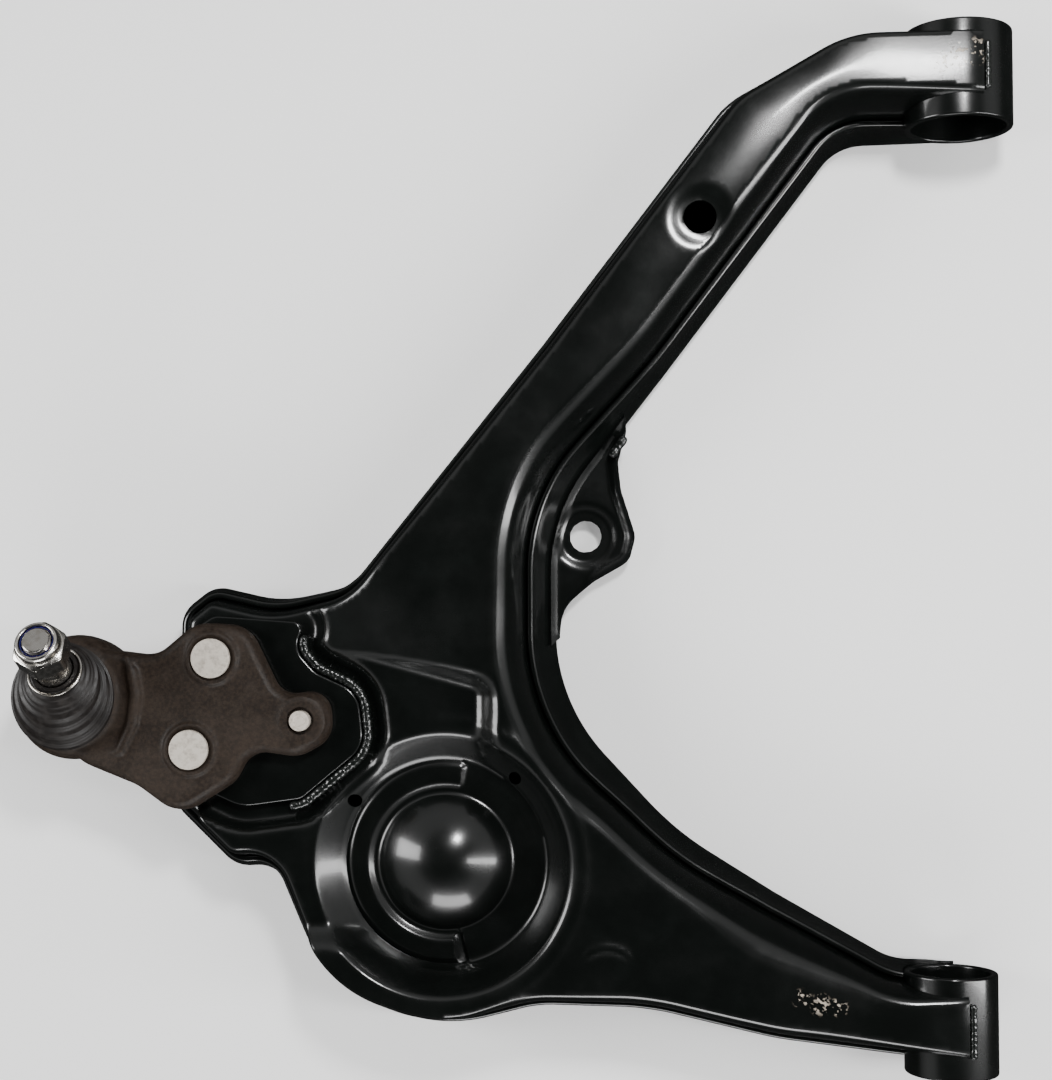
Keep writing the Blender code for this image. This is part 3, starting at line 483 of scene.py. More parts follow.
def fillet_ramp(t, blend):
    """A straight ramp from 0 to 1 whose two ends are rounded over the given share of its length."""
    t = np.clip(t, 0.0, 1.0)
    slope = 1.0 / (1.0 - blend)
    start = 0.5 * slope * t ** 2 / blend
    end = 1.0 - 0.5 * slope * (1.0 - t) ** 2 / blend
    middle = slope * (t - 0.5 * blend)
    return np.where(t < blend, start, np.where(t > 1.0 - blend, end, middle))


def floor_height(x, _):
    return lerp(FLOOR_Z, NOSE_FLOOR_Z, smooth((NOSE_RAMP_X - x) / NOSE_RAMP))


def crown_drop(x, y, rear):
    """How far the arms' tops fall away from their middle line, and less over the sleeves."""
    arm = np.maximum(smooth((y - 120.0) / 60.0), rear)
    depth = lerp(ARM_CROWN, SLEEVE_CROWN, smooth((x - FRONT_SLEEVE[0] + 75.0) / 45.0))
    inside = np.maximum(0.0, -edge_distance(OUTLINE_LOOP, np.stack([x, y], 1)) - 8.0)
    return arm * depth * (1.0 - np.minimum(1.0, inside / 19.0)) ** 2


def body_height(x, y):
    """The pressed top away from the spring pan and the sleeves' crowns."""
    front = smooth((y - 230.0) / 100.0)
    rear = smooth((x - 120.0) / 80.0) * np.where(y < 60.0, 1.0, 0.0)
    z = lerp(ARM_TOP_Z, FRONT_TOP_Z, front)
    z = lerp(z, REAR_TOP_Z, rear)
    z = z - crown_drop(x, y, rear)
    # The long arm's raised top ends in a step beside the spring pan and slopes away towards the nose.
    step = smooth((-0.26 * (x + 2.0) - 0.966 * (y - 93.0)) / 11.0)
    slope = smooth((-0.788 * (x + 2.0) - 0.615 * (y - 93.0) + 12.0) / 58.0)
    z = lerp(z, PAN_SIDE_Z, np.maximum(step, slope) * smooth(np.minimum(27.0 - x, y + 40.0) / 13.0))
    plate = edge_distance(PLATE_LOOP, np.stack([x, y], 1))
    z = lerp(z, PAD_Z, smooth((PAD_MARGIN + PAD_STEP - plate) / PAD_STEP))
    return lerp(z, PAD_Z, smooth((-112.0 - x) / 5.0))


def top_height(x, y):
    z = body_height(x, y)
    radius = np.hypot(x, y)
    angle = np.degrees(np.arctan2(y, x)) % 360.0
    wall = fillet_ramp((radius - PAN_SEAT_R) / (PAN_RIM_R - PAN_SEAT_R), 0.16)
    # The seat stands higher on the side of the nose, where the spring's end coil lies, and ends in two steps.
    raised = smooth((angle - 77.0) / 3.0) * smooth((279.0 - angle) / 3.0)
    ramp = 1.6 + 0.8 * (angle - 77.0) / 202.0
    on_seat = fillet_ramp((radius - PAN_DOME_R) / 3.0, 0.3)
    on_seat = on_seat * fillet_ramp((PAN_SEAT_R - radius + 1.0) / 3.0, 0.3)
    seat = PAN_SEAT_Z - 0.7 + raised * ramp * on_seat
    notch = np.exp(-((angle - 281.5) / 1.6) ** 4) * smooth((radius - 32.0) / 2.0) * smooth((48.0 - radius) / 2.0)
    in_pan = lerp(seat - 2.0 * notch, z, wall)
    dome = np.maximum(0.0, 1.0 - (radius / (PAN_DOME_R - 2.0)) ** 2)
    in_pan = in_pan + (PAN_DOME_Z - PAN_SEAT_Z) * dome
    # Pressing marks in the wall towards the crook of the arms.
    marks = smooth((angle - 8.0) / 14.0) * smooth((62.0 - angle) / 14.0) * smooth((radius - 34.0) / 6.0)
    ripple = np.sin(math.tau * radius / 3.4 + 0.02 * angle)
    in_pan = in_pan + 0.16 * marks * ripple * smooth((58.0 - radius) / 4.0)
    z = np.where(radius < PAN_RIM_R, in_pan, z)
    # The raised bead round the pan's rim, strongest on the side of the short arm.
    bead = np.exp(-((radius - PAN_RIM_R - 4.0) / 3.2) ** 2)
    z = z + 0.9 * bead * smooth((x + 30.0) / 60.0)
    # The dished seat of the round hole in the long arm.
    hole = np.hypot(x - ARM_HOLE[0], y - ARM_HOLE[1])
    z = z - 1.7 * smooth((16.0 - hole) / 8.0)
    # The small pressed arch beside the pan.
    arch = np.abs(np.hypot(x - 75.0, y + 50.0) - 15.0)
    near_arch = smooth((y + 46.0) / 8.0) * smooth((13.0 - np.abs(x - 75.0)) / 6.0)
    z = z + 1.1 * np.exp(-(arch / 2.2) ** 2) * near_arch
    # Over a sleeve the tongue bends round it as far as its cut end.
    across = np.clip(x - FRONT_SLEEVE[0], 0.0, FRONT_LAP + 4.0)
    z = np.where(y > 300.0, z - FRONT_TOP_Z + np.sqrt(FRONT_TOP_Z ** 2 - across ** 2), z)
    across = np.clip(x - REAR_SLEEVE[0], 0.0, REAR_LAP + 4.0)
    crown = REAR_TOP_Z - REAR_SLEEVE[2]
    return np.where(y < 0.0, z - crown + np.sqrt(crown ** 2 - across ** 2), z)


def under_top(x, y):
    step = 0.6
    rise_x = (top_height(x + step, y) - top_height(x - step, y)) / (2.0 * step)
    rise_y = (top_height(x, y + step) - top_height(x, y - step)) / (2.0 * step)
    return top_height(x, y) - SHEET * np.minimum(1.6, np.sqrt(1.0 + rise_x ** 2 + rise_y ** 2))


# ---------------------------------------------------------------- pressed shells

def spread(points, count):
    """Points of a smooth curve through (across, up) points, evenly spaced in turn."""
    points = np.array(points)
    key = np.linspace(0.0, 1.0, len(points))
    fine = np.linspace(0.0, 1.0, count)
    slopes = np.gradient(points, key, axis=0)
    cell = np.clip(np.searchsorted(key, fine, side="right") - 1, 0, len(points) - 2)
    h = key[1] - key[0]
    t = ((fine - key[cell]) / h)[:, None]
    a, b = points[cell], points[cell + 1]
    u, v = slopes[cell] * h, slopes[cell + 1] * h
    curve = (2 * t ** 3 - 3 * t ** 2 + 1) * a + (t ** 3 - 2 * t ** 2 + t) * u
    return curve + (-2 * t ** 3 + 3 * t ** 2) * b + (t ** 3 - t ** 2) * v


def inset(away):
    return OUTLINE_LOOP[:, :2] + OUTLINE_NORMALS * np.asarray(away)[:, None]


def ring_at(away, height):
    flat = inset(away)
    z = height(flat[:, 0], flat[:, 1])
    return np.column_stack([flat, z])


def pressed(outer, inner, height, inner_height, inner_loops, points, coarse):
    bm = bmesh.new()
    skins = []
    for rings, surface, loops, loose in ((outer, height, inner_loops, points), (inner, inner_height, [], coarse)):
        rows = [[bm.verts.new(p) for p in ring] for ring in rings]
        for a, b in zip(rows, rows[1:]):
            join_rows(bm, a, b)
        fill_loop(bm, rows[-1], rings[-1], surface, loops, loose)
        skins.append(rows[0])
    join_rows(bm, *skins)
    return bm


def sleeve_tools(lap_front, lap_rear):
    half = SLEEVE_LENGTH
    fx, fy, fz = FRONT_SLEEVE
    rx, ry, rz = REAR_SLEEVE
    return [
        tool("cut_front_sleeve", along_y(fx, fz, fy - half, fy + half, FRONT_SLEEVE_R + GAP)),
        tool("cut_rear_sleeve", along_y(rx, rz, ry - half, ry + half, REAR_SLEEVE_R + GAP)),
        tool("cut_front_end", box(fx + lap_front, fx + 90.0, 300.0, 420.0, -60.0, 60.0)),
        tool("cut_rear_end", box(rx + lap_rear, rx + 90.0, -130.0, 0.0, -60.0, 60.0)),
    ]


def make_upper_shell():
    wall = SHEET * 1.04
    outer_shape = spread(((0.0, 0.0), (0.10, 0.32), (0.26, 0.63), (0.50, 0.86), (0.76, 0.965), (1.0, 1.0)), 22)
    inner_shape = spread(((0.0, 0.0), (0.08, 0.32), (0.22, 0.62), (0.45, 0.84), (0.72, 0.955), (1.0, 1.0)), 8)
    start = BAND + SHELL_LAP
    outer = [ring_at(start + FLANK * s, lambda x, y, v=up: lerp(UPPER_EDGE_Z, top_height(x, y), v))
             for s, up in outer_shape]
    inner = [ring_at(start + lerp(wall, FLANK, s), lambda x, y, v=up: lerp(UPPER_EDGE_Z, under_top(x, y), v))
             for s, up in inner_shape]
    edge = outer[-1]
    polar = [circle(0.0, 0.0, r, PAN_SIDES) for r in np.arange(PAN_STEP, PAN_RIM_R + 0.1, PAN_STEP)]
    loose = hex_grid(edge, GRID, 0.7 * GRID)
    loose = loose[np.hypot(loose[:, 0], loose[:, 1]) > PAN_RIM_R + 0.7 * GRID]
    around = np.concatenate([circle(*ARM_HOLE, r, 48) for r in (9.0, 10.5, 12.0, 14.0, 16.0)])
    loose = loose[np.hypot(loose[:, 0] - ARM_HOLE[0], loose[:, 1] - ARM_HOLE[1]) > 17.0]
    points = np.concatenate([loose, around] + polar)
    coarse = hex_grid(inner[-1], 7.0, 3.0)
    bm = pressed(outer, inner, top_height, under_top, [], points, coarse)
    obj = make_object("Upper shell", bm, PAINT)
    tools = sleeve_tools(FRONT_LAP, REAR_LAP)
    for angle, radius in DRAINS:
        spot = math.radians(angle)
        tools.append(tool("cut_drain", cylinder(radius * math.cos(spot), radius * math.sin(spot),
                                                -10.0, 40.0, DRAIN_R)))
    tools.append(tool("cut_hole", cylinder(*ARM_HOLE, 10.0, 40.0, ARM_HOLE_R)))
    for x, y in RIVET_SPOTS:
        tools.append(tool("cut_rivet", cylinder(x, y, -5.0, 20.0, RIVET_R + GAP)))
    tools.append(tool("cut_pin", cylinder(*PIN_SPOT, -5.0, 20.0, PIN_R + GAP)))
    cut(obj, tools)
    shade(obj.data)
    return place(obj, "arm", "upper_shell")


def make_lower_shell():
    wall = SHEET * 1.1

    def above_floor(lift):
        return lambda x, y: floor_height(x, y) + lift * (LAP_Z - floor_height(x, y)) / (LAP_Z - FLOOR_Z)

    def flat(z):
        return lambda x, y: np.full(x.shape, z)

    lip = SHEET * 0.5
    outer = []
    for k in range(7):
        angle = math.pi * (1.0 - k / 6.0)
        reach = BAND + wall * 0.5 - wall * 0.5 * math.cos(angle)
        outer.append(ring_at(reach, flat(LAP_Z - lip * (1.0 - math.sin(angle)))))
    height = LAP_Z - lip - FLOOR_Z
    for k in range(1, 8):
        t = k / 8.0
        bow = 0.10 * math.sin(math.pi * t)
        outer.append(ring_at(BAND * (1.0 - smooth(t) * 0.35 - t * 0.65) + BAND * bow,
                             above_floor(FLOOR_CORNER + (height - FLOOR_CORNER) * (1.0 - t))))
    for k in range(8):
        angle = 0.5 * math.pi * k / 7.0
        outer.append(ring_at(np.full(len(BAND), FLOOR_CORNER * (1.0 - math.cos(angle))),
                             above_floor(FLOOR_CORNER * (1.0 - math.sin(angle)))))
    inner = [ring_at(BAND + wall, flat(LAP_Z - lip * 2.0)),
             ring_at(np.full(len(BAND), wall + 0.3), lambda x, y: above_floor(3.0)(x, y) + SHEET),
             ring_at(np.full(len(BAND), FLOOR_CORNER), lambda x, y: above_floor(0.0)(x, y) + SHEET)]
    points = hex_grid(outer[-1], GRID * 2.5, GRID * 1.8)
    coarse = hex_grid(inner[-1], 9.0, 4.0)
    bm = pressed(outer, inner, floor_height, lambda x, y: floor_height(x, y) + SHEET, [], points, coarse)
    obj = make_object("Lower shell", bm, PAINT)
    tools = sleeve_tools(LOWER_LAP, LOWER_LAP)
    for x, y in RIVET_SPOTS:
        tools.append(tool("cut_rivet", cylinder(x, y, -30.0, 0.0, RIVET_R + GAP)))
    tools.append(tool("cut_pin", cylinder(*PIN_SPOT, -40.0, 0.0, 9.0)))
    cut(obj, tools)
    shade(obj.data)
    return place(obj, "arm", "lower_shell")


def make_sleeve(name, node, where, radius):
    inner = radius - SLEEVE_WALL
    half = SLEEVE_LENGTH / 2.0
    profile = softened(((inner, half), (radius, half), (radius, -half), (inner, -half)), 1.1, 5, closed=True)
    rings = []
    for r, along in profile:
        ring = circle(where[0], where[2], r, 160)
        rings.append([(a, where[1] + along, b) for a, b in ring])
    obj = make_object(name, loft(rings, closed=True), PAINT)
    return place(obj, "arm", node)


def make_link_tab():
    """The tab's sheet starts up on the lower shell's side and sweeps out into the tab."""
    start, end = TAB_EDGE[0], TAB_EDGE[-1]
    overlap = 3.0
    root = OUTLINE_LOOP[:, :2] + overlap * OUTLINE_NORMALS
    keep = (OUTLINE_LOOP[:, 1] > end[1] - 4.0) & (OUTLINE_LOOP[:, 1] < 206.0)
    root = root[keep & (root[:, 0] > 30.0) & (root[:, 0] < 100.0)]
    root = root[np.argsort(root[:, 1])]
    free = rounded(TAB_EDGE, 5.0, 2.0, closed=False)[:, :2]
    loop = np.concatenate([root, free])
    x0, y0 = TAB_HOLE
    side_slope = (LAP_Z - FLOOR_Z - FLOOR_CORNER) / 9.0

    def height(x, y):
        points = np.stack([x, y], 1)
        inside = edge_distance(free_only(loop, len(root)), points)
        rim = smooth((5.0 + inside) / 5.0) * smooth((x - 60.0) / 12.0)
        dish = smooth((TAB_HOLE_R + 9.0 - np.hypot(x - x0, y - y0)) / 5.0)
        flat = TAB_Z + 2.0 * rim - TAB_DISH * dish
        side = FLOOR_Z + FLOOR_CORNER - edge_distance(OUTLINE_LOOP, points) * side_slope - 1.6
        reach = 7.0
        over = np.clip(0.5 + 0.5 * (side - flat) / reach, 0.0, 1.0)
        return lerp(flat, side, over) + reach * over * (1.0 - over)

    loose = hex_grid(loop, 1.4, 0.9)
    loose = loose[np.hypot(loose[:, 0] - x0, loose[:, 1] - y0) > TAB_HOLE_R + 1.4]
    verts, faces, _ = fill(loop, [circle(x0, y0, TAB_HOLE_R, 64)], loose)
    flat = np.array([[v.x, v.y] for v in verts])
    z = height(flat[:, 0], flat[:, 1])
    bm = bmesh.new()
    made = [bm.verts.new((a, b, c)) for (a, b), c in zip(flat, z)]
    for face in faces:
        middle = flat[list(face)].mean(0)
        if math.hypot(middle[0] - x0, middle[1] - y0) > TAB_HOLE_R * 0.98:
            bm.faces.new([made[k] for k in face])
    for vert in [v for v in bm.verts if not v.link_faces]:
        bm.verts.remove(vert)
    obj = make_object("Link tab", bm, PAINT, facing_up=True)
    sheet = obj.modifiers.new("sheet", "SOLIDIFY")
    sheet.thickness = TAB_T * MM
    sheet.offset = 0.0
    sheet.use_even_offset = True
    edge = obj.modifiers.new("edge", "BEVEL")
    edge.width = 0.9 * MM
    edge.segments = 4
    edge.limit_method = "ANGLE"
    edge.angle_limit = math.radians(60.0)
    apply_modifiers(obj)
    shade(obj.data, 50.0)
    return place(obj, "arm", "link_tab")


def free_only(loop, roots):
    """The tab's loop with its root moved far inside the shell, so that only its free edge counts as near."""
    out = loop.copy()
    out[:roots, 0] -= 30.0
    return out


def make_seat_plate():
    low = PAD_Z + GAP
    rings = []
    normal = inward(PLATE_LOOP)
    for away, up in softened(((0.0, 0.0), (0.0, PLATE_T), (3.0, PLATE_T)), 1.4, 6):
        rings.append([(p[0] + n[0] * away, p[1] + n[1] * away, low + up) for p, n in zip(PLATE_LOOP, normal)])
    obj = make_object("Ball joint seat plate", loft(rings), PAINT)
    tools = [tool("cut_rivet", cylinder(x, y, 0.0, 20.0, RIVET_R + GAP)) for x, y in RIVET_SPOTS]
    tools.append(tool("cut_pin", cylinder(*PIN_SPOT, 0.0, 20.0, PIN_R + GAP)))
    cut(obj, tools)
    shade(obj.data)
    return place(obj, "arm", "ball_joint_seat_plate")


# ---------------------------------------------------------------- weld beads

def bead(name, node, path, radius, pitch=2.4, count=20):
    """A rippled weld bead along a path of points."""
    path = np.array(path)
    step = np.linalg.norm(np.diff(path, axis=0), axis=1)
    where = np.concatenate([[0.0], np.cumsum(step)])
    total = where[-1]
    fine = np.arange(0.0, total, 0.3)
    points = np.stack([np.interp(fine, where, path[:, k]) for k in range(3)], 1)
    rings = []
    last = len(points) - 1
    for k, here in enumerate(points):
        along = Vector(points[min(k + 3, last)] - points[max(k - 3, 0)]).normalized()
        side = along.cross(Vector((0.0, 0.0, 1.0)))
        side = side.normalized() if side.length > 0.05 else Vector((1.0, 0.0, 0.0))
        up = side.cross(along)
        end = min(fine[k], total - fine[k]) / radius
        taper = math.sqrt(max(0.0, 1.0 - max(0.0, 1.0 - end) ** 2)) * 0.96 + 0.04
        ring = []
        for angle in np.arange(count) * math.tau / count:
            lag = 0.9 * math.cos(angle) ** 2
            ripple = ((fine[k] + lag * radius) % pitch) / pitch
            wander = 0.05 * math.sin(fine[k] * 0.9) + 0.04 * math.sin(fine[k] * 2.3 + 1.0)
            size = radius * taper * (0.90 + wander + 0.12 * math.sqrt(ripple))
            ring.append(tuple(Vector(here) + side * (size * math.cos(angle)) + up * (size * math.sin(angle))))
        rings.append(ring)
    obj = make_object(name, loft(rings), WELD)
    shade(obj.data, 60.0)
    return place(obj, "arm", node)


def make_welds():
    reach = 2.2
    normal = inward(PLATE_LOOP)
    path = [(p[0] - n[0] * (reach + GAP), p[1] - n[1] * (reach + GAP), PAD_Z + GAP + reach + 0.2)
            for p, n in zip(PLATE_LOOP, normal) if p[0] > -72.0 and p[1] < 104.0]
    bead("Seat plate weld", "seat_plate_weld", path, reach)
    path = [(lerp(74.5, 81.5, t), lerp(187.0, 196.5, t), TAB_Z + 6.2) for t in np.linspace(0.0, 1.0, 9)]
    bead("Link tab weld", "link_tab_weld", path, 2.0)
    sleeves = (
        ("Front sleeve weld", "front_sleeve_weld", FRONT_SLEEVE, FRONT_SLEEVE_R, FRONT_LAP, 11.0),
        ("Rear sleeve weld", "rear_sleeve_weld", REAR_SLEEVE, REAR_SLEEVE_R, REAR_LAP, 12.0),
    )
    for name, node, where, radius, lap, half in sleeves:
        across = lap + GAP + 1.5
        up = math.sqrt((radius + GAP + 1.5) ** 2 - across ** 2)
        path = [(where[0] + across, where[1] + lerp(-half, half, t), where[2] + up)
                for t in np.linspace(0.0, 1.0, 12)]
        bead(name, node, path, 1.5)


# ---------------------------------------------------------------- ball joint housing and rivets

def make_housing():
    """Forged body: the pieces are joined, remeshed and softened so that every corner has a fillet."""
    low = FLANGE_Z
    high = low + FLANGE_T
    loop = rounded(FLANGE, 6.0, 4.0)
    normal = inward(loop)
    rings = []
    for away, z in ((1.6, low), (0.2, low + 1.6), (0.8, high - 3.4), (2.2, high - 1.2), (4.2, high)):
        rings.append([(p[0] + n[0] * away, p[1] + n[1] * away, z) for p, n in zip(loop, normal)])
    obj = make_object("Ball joint housing", loft(rings), FORGED)
    base = BALL.z - 29.0
    cup = ((22.0, base), (25.0, base + 1.0), (28.0, base + 9.0), (CUP_R, base + 18.0), (28.6, base + 26.0),
           (26.0, base + 32.0), (22.8, base + 34.6), (22.2, base + 35.4), (NECK_R, base + 35.6),
           (NECK_R, base + 37.8), (NECK_R - 0.6, base + 38.4))
    joins = [tool("join_cup", turned(cup, 96, (BALL.x, BALL.y, 0.0)))]
    for x, y in RIVET_SPOTS:
        boss = ((13.4, high - 4.0), (12.8, high + 0.4), (11.6, high + 1.8), (10.4, high + 2.0), (9.9, high + 0.9),
                (9.7, high + 0.5))
        joins.append(tool("join_boss", turned(boss, 72, (x, y, 0.0))))
    x, y = PIN_SPOT
    ear = ((12.0, low + 2.0), (11.4, high + 0.1), (9.4, high + 0.5))
    joins.append(tool("join_ear", turned(ear, 72, (x, y, 0.0))))
    # The raised rib behind the boot, where the cup runs into the flange.
    rib = [(-146.5, 93.0, high - 1.2), (-143.0, 86.0, high - 0.4), (-141.0, 76.0, high - 0.2),
           (-142.5, 62.0, high - 0.4), (-148.0, 50.0, high - 1.2), (-158.0, 46.0, high - 2.4)]
    joins.append(tool("join_rib", tube(rib, 3.2)))
    for piece in joins:
        modifier = obj.modifiers.new(piece.name, "BOOLEAN")
        modifier.operation = "UNION"
        modifier.solver = "MANIFOLD"
        modifier.object = piece
    apply_modifiers(obj, joins)
    remesh = obj.modifiers.new("forge", "REMESH")
    remesh.mode = "VOXEL"
    remesh.voxel_size = 0.6 * MM
    soften_it = obj.modifiers.new("soften", "SMOOTH")
    soften_it.factor = 0.5
    soften_it.iterations = 12
    apply_modifiers(obj)
    hollow = ((CAVITY_R, base - 1.0), (CAVITY_R, BALL.z + 4.0), (15.8, BALL.z + 8.0), (16.4, BALL.z + 12.0))
    tools = [tool("cut_cavity", turned(hollow, 96, (BALL.x, BALL.y, 0.0)))]
    for x, y in RIVET_SPOTS:
        tools.append(tool("cut_rivet", cylinder(x, y, 0.0, 40.0, RIVET_R + GAP)))
        tools.append(tool("cut_recess", cylinder(x, y, high + 0.4, 40.0, RIVET_HEAD_R + 0.5)))
    tools.append(tool("cut_pin", cylinder(*PIN_SPOT, 0.0, 40.0, PIN_R + GAP)))
    tools.append(tool("cut_pin_recess", cylinder(*PIN_SPOT, high - 1.4, 40.0, PIN_R + 1.6)))
    cut(obj, tools)
    obj.data.materials.clear()
    obj.data.materials.append(FORGED)
    shade(obj.data, 50.0)
    return place(obj, "arm", "ball_joint_housing")


def tube(path, radius, count=16):
    rings = []
    last = len(path) - 1
    for k, here in enumerate(path):
        along = (Vector(path[min(k + 1, last)]) - Vector(path[max(k - 1, 0)])).normalized()
        side = along.cross(Vector((0.0, 0.0, 1.0))).normalized()
        up = side.cross(along)
        size = radius * (0.5 if k in (0, last) else 1.0)
        rings.append([tuple(Vector(here) + side * (size * math.cos(a)) + up * (size * math.sin(a)))
                      for a in np.arange(count) * math.tau / count])
    return loft(rings)


def make_rivets():
    flange_top = FLANGE_Z + FLANGE_T
    under = NOSE_FLOOR_Z - GAP
    for name, node, (x, y) in zip(("Front rivet", "Rear rivet"), ("rivet_front", "rivet_rear"), RIVET_SPOTS):
        seat = flange_top + 0.4 + GAP
        top = seat + RIVET_HEAD_T
        tail = softened(((0.0, under - 4.4), (RIVET_R - 0.8, under - 4.1), (RIVET_R + 2.2, under - 3.2),
                         (RIVET_R + 3.0, under - 1.0), (RIVET_R + 3.0, under)), 1.0)
        head = softened(((RIVET_R, under), (RIVET_R, seat), (RIVET_HEAD_R, seat), (RIVET_HEAD_R, top - 0.1),
                         (RIVET_HEAD_R - 3.0, top), (0.0, top + 0.05)), 0.7)
        obj = make_object(name, turned(tail + head, 72, (x, y, 0.0)), CREAM)
        place(obj, "arm", node)
    x, y = PIN_SPOT
    below = PAD_Z - SHEET - GAP - 0.5
    top = flange_top + PIN_TAIL
    tail = softened(((0.0, below - 2.9), (PIN_R, below - 2.8), (PIN_R + 2.6, below - 2.2), (PIN_R + 2.6, below)), 0.7)
    shank = softened(((PIN_R, below), (PIN_R, top), (PIN_R - 2.0, top + 0.1), (PIN_R - 2.3, top - 0.3), (0.0, top - 0.4)),
                     0.6)
    obj = make_object("Ear rivet", turned(tail + shank, 64, (x, y, 0.0)), CREAM)
    place(obj, "arm", "rivet_ear")


# ---------------------------------------------------------------- stud, nut and boot

def stud_turn():
    lean = Matrix.Rotation(LEAN, 4, "Y")
    heading = Matrix.Rotation(HEADING, 4, "Z")
    return heading @ lean @ heading.inverted()


STUD = stud_turn()
ON_STUD = Matrix.Translation(BALL) @ STUD


def make_stud():
    arc = [(BALL_R * math.cos(a), BALL_R * math.sin(a)) for a in np.linspace(-1.55, 1.07, 40)]
    shank = softened(((6.6, 13.6), (7.0, 19.0), (TAPER_R - 0.4, TAPER_START), (TAPER_R, TAPER_START + 1.0),
                      (7.3, TAPER_END), (THREAD_R - GAP, TAPER_END + 0.4)), 0.5)
    count = 96
    rings = []
    for radius, height in arc + shank:
        rings.append([(x, y, height) for x, y in circle(0.0, 0.0, max(radius, 0.02), count)])
    heights = np.arange(TAPER_END + 0.6, STUD_END, 0.125)
    for height in heights:
        ring = []
        for angle in np.arange(count) * math.tau / count:
            phase = ((height / THREAD_PITCH - angle / math.tau) % 1.0)
            tooth = abs(phase - 0.5) * 2.0
            end = min(1.0, (STUD_END - height) / 0.9)
            radius = THREAD_R - 0.35 - 0.8 * tooth * end - 0.9 * (1.0 - end)
            ring.append((radius * math.cos(angle), radius * math.sin(angle), height))
        rings.append(ring)
    rings.append([(x, y, STUD_END) for x, y in circle(0.0, 0.0, THREAD_R - 2.0, count)])
    rings.append([(x, y, STUD_END - 0.3) for x, y in circle(0.0, 0.0, 1.0, count)])
    obj = make_object("Ball stud", loft(rings), STEEL, ON_STUD)
    shade(obj.data, 50.0)
    return place(obj, "stud", "ball_stud")


def make_nut():
    base, top = NUT_BASE, NUT_BASE + NUT_HEIGHT
    hex_top = base + NUT_HEIGHT * 0.68
    flats = NUT_FLATS / 2.0
    count = 144
    angle = np.arange(count) * math.tau / count
    local = (angle + math.pi / 6.0) % (math.pi / 3.0) - math.pi / 6.0
    hexagon = np.minimum(flats / np.cos(local), flats / math.cos(math.pi / 6.0) - 0.35)

    def ring(radius, z):
        radius = np.broadcast_to(radius, angle.shape)
        return list(zip(radius * np.cos(angle), radius * np.sin(angle), np.full(count, z)))

    rings = [ring(THREAD_R + 0.05, base + 1.3), ring(THREAD_R + 1.1, base + 0.1), ring(THREAD_R + 1.5, base),
             ring(flats - 0.4, base)]
    # Where the 30 degree chamfers meet the flats, the edge is the smaller of the two radii.
    for up in np.linspace(0.0, 1.5, 10):
        rings.append(ring(np.minimum(hexagon, flats - 0.1 + up * 1.7), base + 0.05 + up))
    for up in np.linspace(1.8, 0.0, 12):
        rings.append(ring(np.minimum(hexagon, flats - 0.2 + up * 1.7), hex_top - up))
    for radius, z in softened(((flats - 0.4, hex_top + 0.1), (flats - 0.9, hex_top + 0.2), (flats - 1.1, top - 1.2),
                               (flats - 1.9, top), (flats - 3.2, top - 0.1), (flats - 3.4, top - 4.0)), 0.7, 5):
        rings.append(ring(radius, z))
    rings.append(ring(THREAD_R + 0.05, top - 4.0))
    obj = make_object("Lock nut", loft(rings, closed=True), ZINC, ON_STUD)
    shade(obj.data, 32.0)
    place(obj, "stud", "lock_nut")
    outer = flats - 3.4 - GAP
    inner = THREAD_R + 0.05
    profile = softened(((inner, top - 3.7), (outer, top - 3.7), (outer, top - 0.7), (inner, top - 1.0)), 0.4, 4, True)
    obj = make_object("Nylon insert", turned(profile, 96, closed=True), NYLON_BLUE, ON_STUD)
    place(obj, "stud", "nut_nylon_insert")


BOOT_FOLDS = ((0.0, 20.3), (0.14, 20.3), (0.20, 22.6), (0.27, 24.2), (0.33, 24.0), (0.37, 22.7), (0.42, 22.2),
              (0.47, 21.6), (0.50, 19.8), (0.54, 18.9), (0.60, 18.9), (0.65, 18.5), (0.69, 16.6), (0.74, 15.2),
              (0.79, 13.2), (0.86, 10.9), (0.90, 10.6), (1.0, 10.6))


def boot_radius(t):
    keys = np.array(BOOT_FOLDS)
    cell = min(len(keys) - 2, int(np.searchsorted(keys[:, 0], t, side="right")) - 1)
    share = (t - keys[cell, 0]) / (keys[cell + 1, 0] - keys[cell, 0])
    return lerp(keys[cell, 1], keys[cell + 1, 1], float(smooth(share)))


def boot_ring(t, radius, count=96):
    tip = STUD @ Vector((0.0, 0.0, TAPER_START + 2.6))
    base = Vector((0.0, 0.0, BOOT_BASE))
    share = float(smooth((t - 0.17) / 0.83))
    middle = base.lerp(tip, share)
    middle.z = lerp(base.z, tip.z, t)
    heading = Matrix.Rotation(HEADING, 3, "Z")
    turn = heading @ Matrix.Rotation(LEAN * share, 3, "Y") @ heading.inverted()
    return [tuple(middle + turn @ Vector((x, y, 0.0))) for x, y in circle(0.0, 0.0, radius, count)]


def make_boot():
    steps = 100
    outer = [boot_ring(k / steps, boot_radius(k / steps)) for k in range(steps + 1)]
    inner = [boot_ring(k / steps, min(boot_radius(k / steps) - BOOT_WALL, 21.8)) for k in range(0, steps + 1, 4)]
    obj = make_object("Dust boot", loft(outer + inner[::-1], closed=True), RUBBER, Matrix.Translation(BALL))
    shade(obj.data, 60.0)
    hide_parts("dust_boot")
    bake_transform(obj)


def wire_ring(name, node, body, radius, height, wire, turn):
    """A spring wire round the boot."""
    angles = np.arange(12) * math.tau / 12
    profile = [(radius + wire * math.cos(a), height + wire * math.sin(a)) for a in angles]
    obj = make_object(name, turned(profile, 96, closed=True), STEEL, turn)
    return place(obj, body, node)


